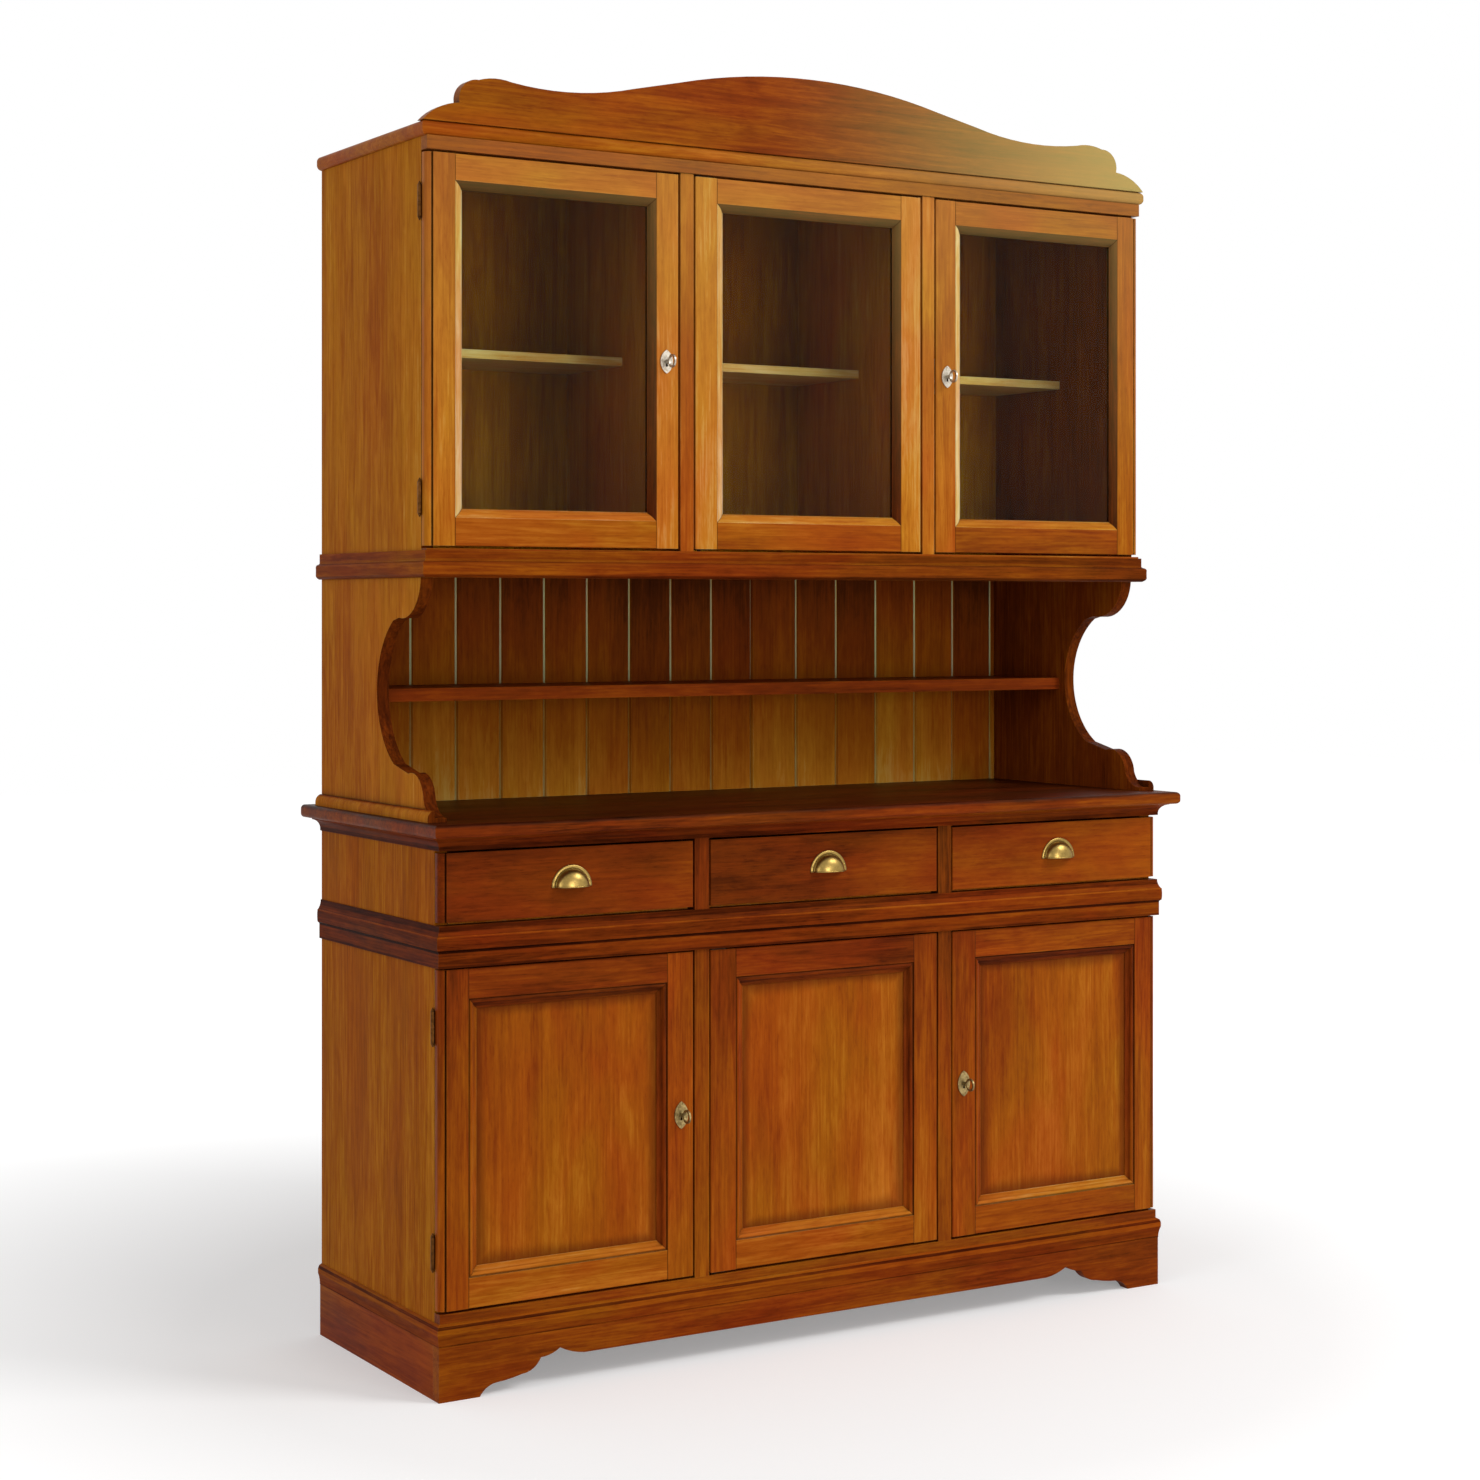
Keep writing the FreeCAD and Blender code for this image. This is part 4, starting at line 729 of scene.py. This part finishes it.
def on_each_spot(tree, given, shapes, turned=0.0):
    """Ends the tree: these shapes on every spot, facing that way and turned on their own axis by a
    random angle up to this one, as real faces in the metal."""
    whole = add(tree, "GeometryNodeJoinGeometry")
    for shape in shapes:
        tree.links.new(shape.outputs[0], whole.inputs[0])
    parts = add(tree, "GeometryNodeInstanceOnPoints", {
        "Points": given.outputs["Spots"], "Instance": whole, "Rotation": given.outputs["Facing"]})
    angle = add(tree, "FunctionNodeRandomValue", {2: 0.0, 3: turned, "Seed": 5}, data_type="FLOAT")
    angle = add(tree, "ShaderNodeCombineXYZ", {"Z": angle})
    parts = add(tree, "GeometryNodeRotateInstances", {"Instances": parts, "Rotation": angle})
    parts = add(tree, "GeometryNodeRealizeInstances", {"Geometry": parts})
    parts = add(tree, "GeometryNodeSetMaterial", {"Geometry": parts, "Material": given.outputs["Metal"]})
    add(tree, "NodeGroupOutput", {"Parts": parts})


def plant(name, tree, spots, facing, material, body):
    """Runs a tree on spots in metres, and leaves one plain mesh that rides on the body."""
    guide_points = bpy.data.meshes.new(name + "_spots")
    guide_points.from_pydata(spots, [], [])
    guide = put(name + "_spots", guide_points)
    grown = guide.modifiers.new("small_parts", "NODES")
    grown.node_group = tree
    given = {socket.name: socket.identifier for socket in tree.interface.items_tree}
    grown[given["Facing"]] = facing
    grown[given["Metal"]] = material
    plain = bpy.data.meshes.new_from_object(guide.evaluated_get(bpy.context.evaluated_depsgraph_get()))
    bpy.data.objects.remove(guide)
    plain.name = name
    piece = put(name, plain)
    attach(piece, body)


UP, DOWN, FORWARD, BACKWARD = (0, 0, 0), (math.pi, 0, 0), (math.pi / 2, 0, 0), (-math.pi / 2, 0, 0)

# turned tips for the barrels: a collar, a flattened ball and a bead on it, each (radius, height,
# flatness, rings), the first two as shares of the barrel's radius
TIP = ((1.12, 0.10, 0.35, 6), (0.80, 0.72, 0.80, 8), (0.38, 1.55, 1.0, 6))
finial, given = small_part("hinge_tips", Radius=0.0035)
radius = given.outputs["Radius"]
shapes = []
for share, rise, flat, rings in TIP:
    size = add(finial, "ShaderNodeMath", {0: radius, 1: share}, operation="MULTIPLY")
    at = add(finial, "ShaderNodeMath", {0: radius, 1: rise}, operation="MULTIPLY")
    ball = add(finial, "GeometryNodeMeshUVSphere", {"Segments": 14, "Rings": rings, "Radius": size})
    shapes.append(add(finial, "GeometryNodeTransform", {
        "Geometry": ball, "Translation": add(finial, "ShaderNodeCombineXYZ", {"Z": at}),
        "Scale": (1, 1, flat)}))
on_each_spot(finial, given, shapes)

# domed heads with a slot for a screwdriver
screw, given = small_part("slotted_screws", Radius=0.0024, Dome=0.0009, Slot=0.0006)
radius, dome, slit = (given.outputs[label] for label in ("Radius", "Dome", "Slot"))
flat = add(screw, "ShaderNodeMath", {0: dome, 1: radius}, operation="DIVIDE")
ball = add(screw, "GeometryNodeMeshUVSphere", {"Segments": 20, "Rings": 10, "Radius": radius})
head = add(screw, "GeometryNodeTransform", {
    "Geometry": ball, "Scale": add(screw, "ShaderNodeCombineXYZ", {"X": 1.0, "Y": 1.0, "Z": flat})})
across = add(screw, "ShaderNodeMath", {0: radius, 1: 2.2}, operation="MULTIPLY")
bar = add(screw, "GeometryNodeMeshCube", {
    "Size": add(screw, "ShaderNodeCombineXYZ", {"X": across, "Y": slit, "Z": dome})})
bar = add(screw, "GeometryNodeTransform", {
    "Geometry": bar, "Translation": add(screw, "ShaderNodeCombineXYZ", {"Z": dome})})
slotted = add(screw, "GeometryNodeMeshBoolean", {"Mesh 1": head, "Mesh 2": bar}, operation="DIFFERENCE")
on_each_spot(screw, given, [slotted], turned=math.pi)

# round heads of pins and nails
pin, given = small_part("round_heads", Radius=0.0012)
ball = add(pin, "GeometryNodeMeshUVSphere", {
    "Segments": 10, "Rings": 6, "Radius": given.outputs["Radius"]})
dome = add(pin, "GeometryNodeTransform", {"Geometry": ball, "Scale": (1, 1, 0.6)})
on_each_spot(pin, given, [dome])

WAYS = {"left": -1, "right": 1}
# where the hinges' pins are, how long a barrel is, and where each one's foot is, in metres
HINGE_X, HINGE_LONG = 0.7384, 0.050
HINGE_Y = {"lower": -0.217, "upper": -0.167}
HINGE_Z = {"lower": (0.210, 0.570), "upper": (1.417, 1.895)}
# how far above and below the keyhole an escutcheon is pinned, and how thick it is
PIN_REACH, ESCUTCHEON = {"lower": 0.0195, "upper": 0.0165}, 0.002
PLATED = {"lower": brass, "upper": nickel}
KEYHOLES = {joint["name"]: joint["pos_m"] for joint in frame["record"]["behaviour"]["joints"]
            if joint["name"].endswith("_key_turn")}
plant("hinge_tips_below", finial,
      [(way * HINGE_X, HINGE_Y[row], low) for row in ROWS for low in HINGE_Z[row]
       for way in WAYS.values()], DOWN, browned, "carcass")
for row in ROWS:
    for bay, way in WAYS.items():
        plant(f"hinge_tips_{row}_{bay}", finial,
              [(way * HINGE_X, HINGE_Y[row], low + HINGE_LONG) for low in HINGE_Z[row]],
              UP, browned, f"{row}_{bay}_door")
        keyhole = KEYHOLES[f"{row}_{bay}_key_turn"]
        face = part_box(f"{row}_door_{bay}_frame")[0][1] - ESCUTCHEON
        plant(f"escutcheon_pins_{row}_{bay}", pin,
              [(keyhole[0], face, keyhole[2] + end * PIN_REACH[row]) for end in (-1, 1)],
              FORWARD, PLATED[row], f"{row}_{bay}_door")

# nails: how far in from the edges, and how many across and upwards
NAIL_INSET, NAILS_ACROSS, NAILS_UP = 0.010, 17, 5


def ranks(low, high, count):
    """This many nails' places from edge to edge, the outer ones set in."""
    room = high - low - 2 * NAIL_INSET
    return [low + NAIL_INSET + n * room / (count - 1) for n in range(count)]


# wire nails through the edges of both backs and of the matchboards
for node in ("base_back", "hutch_back", "matchboard_back"):
    low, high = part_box(node)
    columns = ranks(low[0], high[0], NAILS_ACROSS)
    rows = ranks(low[2], high[2], NAILS_UP)
    plant(f"nails_{node}", pin,
          [(x, high[1], z) for x in columns for z in (rows[0], rows[-1])]
          + [(x, high[1], z) for x in (columns[0], columns[-1]) for z in rows[1:-1]],
          BACKWARD, browned, "carcass")


# ---------------------------------------------------------------- drawers
# A solid front on a box of thinner boards: two sides, a back and a bottom, open at the top.

for bay, tone in (("left", 0.29), ("mid", 0.30), ("right", 0.39)):
    stain(f"drawer_front_{bay}", straight("x"), tone, slope=(0.1, 0), figure=0.6, clouded=0.46)
    stain(f"drawer_box_{bay}", straight("y"), 0.62, glaze_and_shade=0.3)


# ---------------------------------------------------------------- cup pulls
# Half-round hoods pressed from sheet brass, darkened with age: a flat rim, a groove round the
# hood, a rolled lip where the fingers go, and two screws through the rim.

# old yellow brass, smooth from handling, with dark brown left round its edges
pull_brass = metal("brass_pull_aged", "#A08448", "#3C2C0E", 0.30, spotted=0.34)
# arches from the rim's edge inward, each (half width, rise, depth off the face) in millimetres
RIM = ((37.0, 36.5, 0.0), (37.0, 36.5, 1.3), (36.2, 35.7, 2.0), (33.5, 33.0, 2.3), (31.4, 30.9, 2.0),
       (30.6, 30.1, 1.3), (30.0, 29.5, 1.3))
# the hood's depth in millimetres, and how full it is: 2 is an ellipse, more is squarer
HOOD_DEPTH, BULGE = 20.0, 2.3
HOOD_STEPS, ARCH_STEPS = 14, 36
# in metres: the sheet, the lip's radius, how far the hood's foot is above the lowest point, and
# how far the lip is above the foot
SHEET, LIP, FOOT_UP, LIP_UP = 0.0012, 0.0011, 0.001, 0.0012
# in metres: each screw is this far to the side, above the foot and off the wall
SCREW_ASIDE, SCREW_UP, SCREW_OUT = 0.0322, 0.010, 0.0019


def hood_arches():
    """The arches of the hood itself, from its foot to its foremost point."""
    wide, rise, foot = RIM[-1]
    for step in range(1, HOOD_STEPS + 1):
        turn = math.pi / 2 * step / HOOD_STEPS
        out = math.cos(turn)
        depth = foot + (HOOD_DEPTH - foot) * (1 - out ** BULGE) ** (1 / BULGE)
        yield wide * out, rise * out, depth


def pressed(name, centre, wall, bottom):
    """The outside of the rim and the hood, smooth and facing outwards, before the sheet's
    thickness is given to it."""
    arches = list(RIM) + list(hood_arches())
    points, faces = [], []
    for wide, rise, depth in arches:
        for step in range(ARCH_STEPS + 1):
            turn = math.pi * step / ARCH_STEPS
            points.append((centre + wide * math.cos(turn) / 1000, wall - depth / 1000,
                           bottom + rise * math.sin(turn) / 1000))
    across = ARCH_STEPS + 1
    for ring in range(len(arches) - 1):
        for step in range(ARCH_STEPS):
            corner = ring * across + step
            faces.append((corner, corner + 1, corner + across + 1, corner + across))
    skin = bpy.data.meshes.new(name)
    skin.from_pydata(points, [], faces)
    work = bmesh.new()
    work.from_mesh(skin)
    bmesh.ops.remove_doubles(work, verts=work.verts, dist=0.00002)
    bmesh.ops.recalc_face_normals(work, faces=work.faces)
    foremost = min(work.faces, key=lambda face: face.calc_center_median().y)
    if foremost.normal.y > 0:
        bmesh.ops.reverse_faces(work, faces=work.faces)
    work.to_mesh(skin)
    work.free()
    skin.materials.append(pull_brass)
    for face in skin.polygons:
        face.use_smooth = True
    return skin


def rolled(name, centre, wall, bottom):
    """The rolled lip, which follows the hood's lower edge from side to side."""
    lip = bpy.data.curves.new(name, "CURVE")
    lip.dimensions = "3D"
    lip.bevel_depth = LIP
    lip.bevel_resolution = 3
    lip.use_fill_caps = True
    lip.materials.append(pull_brass)
    side = [(wide, depth) for wide, _, depth in hood_arches()]
    path = [(-wide, depth) for wide, depth in side[:-1]] + [(0, HOOD_DEPTH)] + side[-2::-1]
    line = lip.splines.new("POLY")
    line.points.add(len(path) - 1)
    for point, (wide, depth) in zip(line.points, path):
        point.co = (centre + wide / 1000, wall - depth / 1000, bottom + LIP_UP, 1)
    return lip


for bay in BAYS:
    low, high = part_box(f"cup_pull_{bay}")
    centre, wall, bottom = (low[0] + high[0]) / 2, high[1], low[2] + FOOT_UP
    hood = put(f"pull_{bay}", pressed(f"pull_{bay}", centre, wall, bottom))
    hood.modifiers.new("sheet", "SOLIDIFY").thickness = SHEET
    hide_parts(f"cup_pull_{bay}")
    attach(hood, f"{bay}_drawer")
    edge = put(f"pull_lip_{bay}", rolled(f"pull_lip_{bay}", centre, wall, bottom))
    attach(edge, f"{bay}_drawer")
    plant(f"pull_screws_{bay}", screw,
          [(centre + way * SCREW_ASIDE, wall - SCREW_OUT, bottom + SCREW_UP) for way in (-1, 1)],
          FORWARD, pull_brass, f"{bay}_drawer")
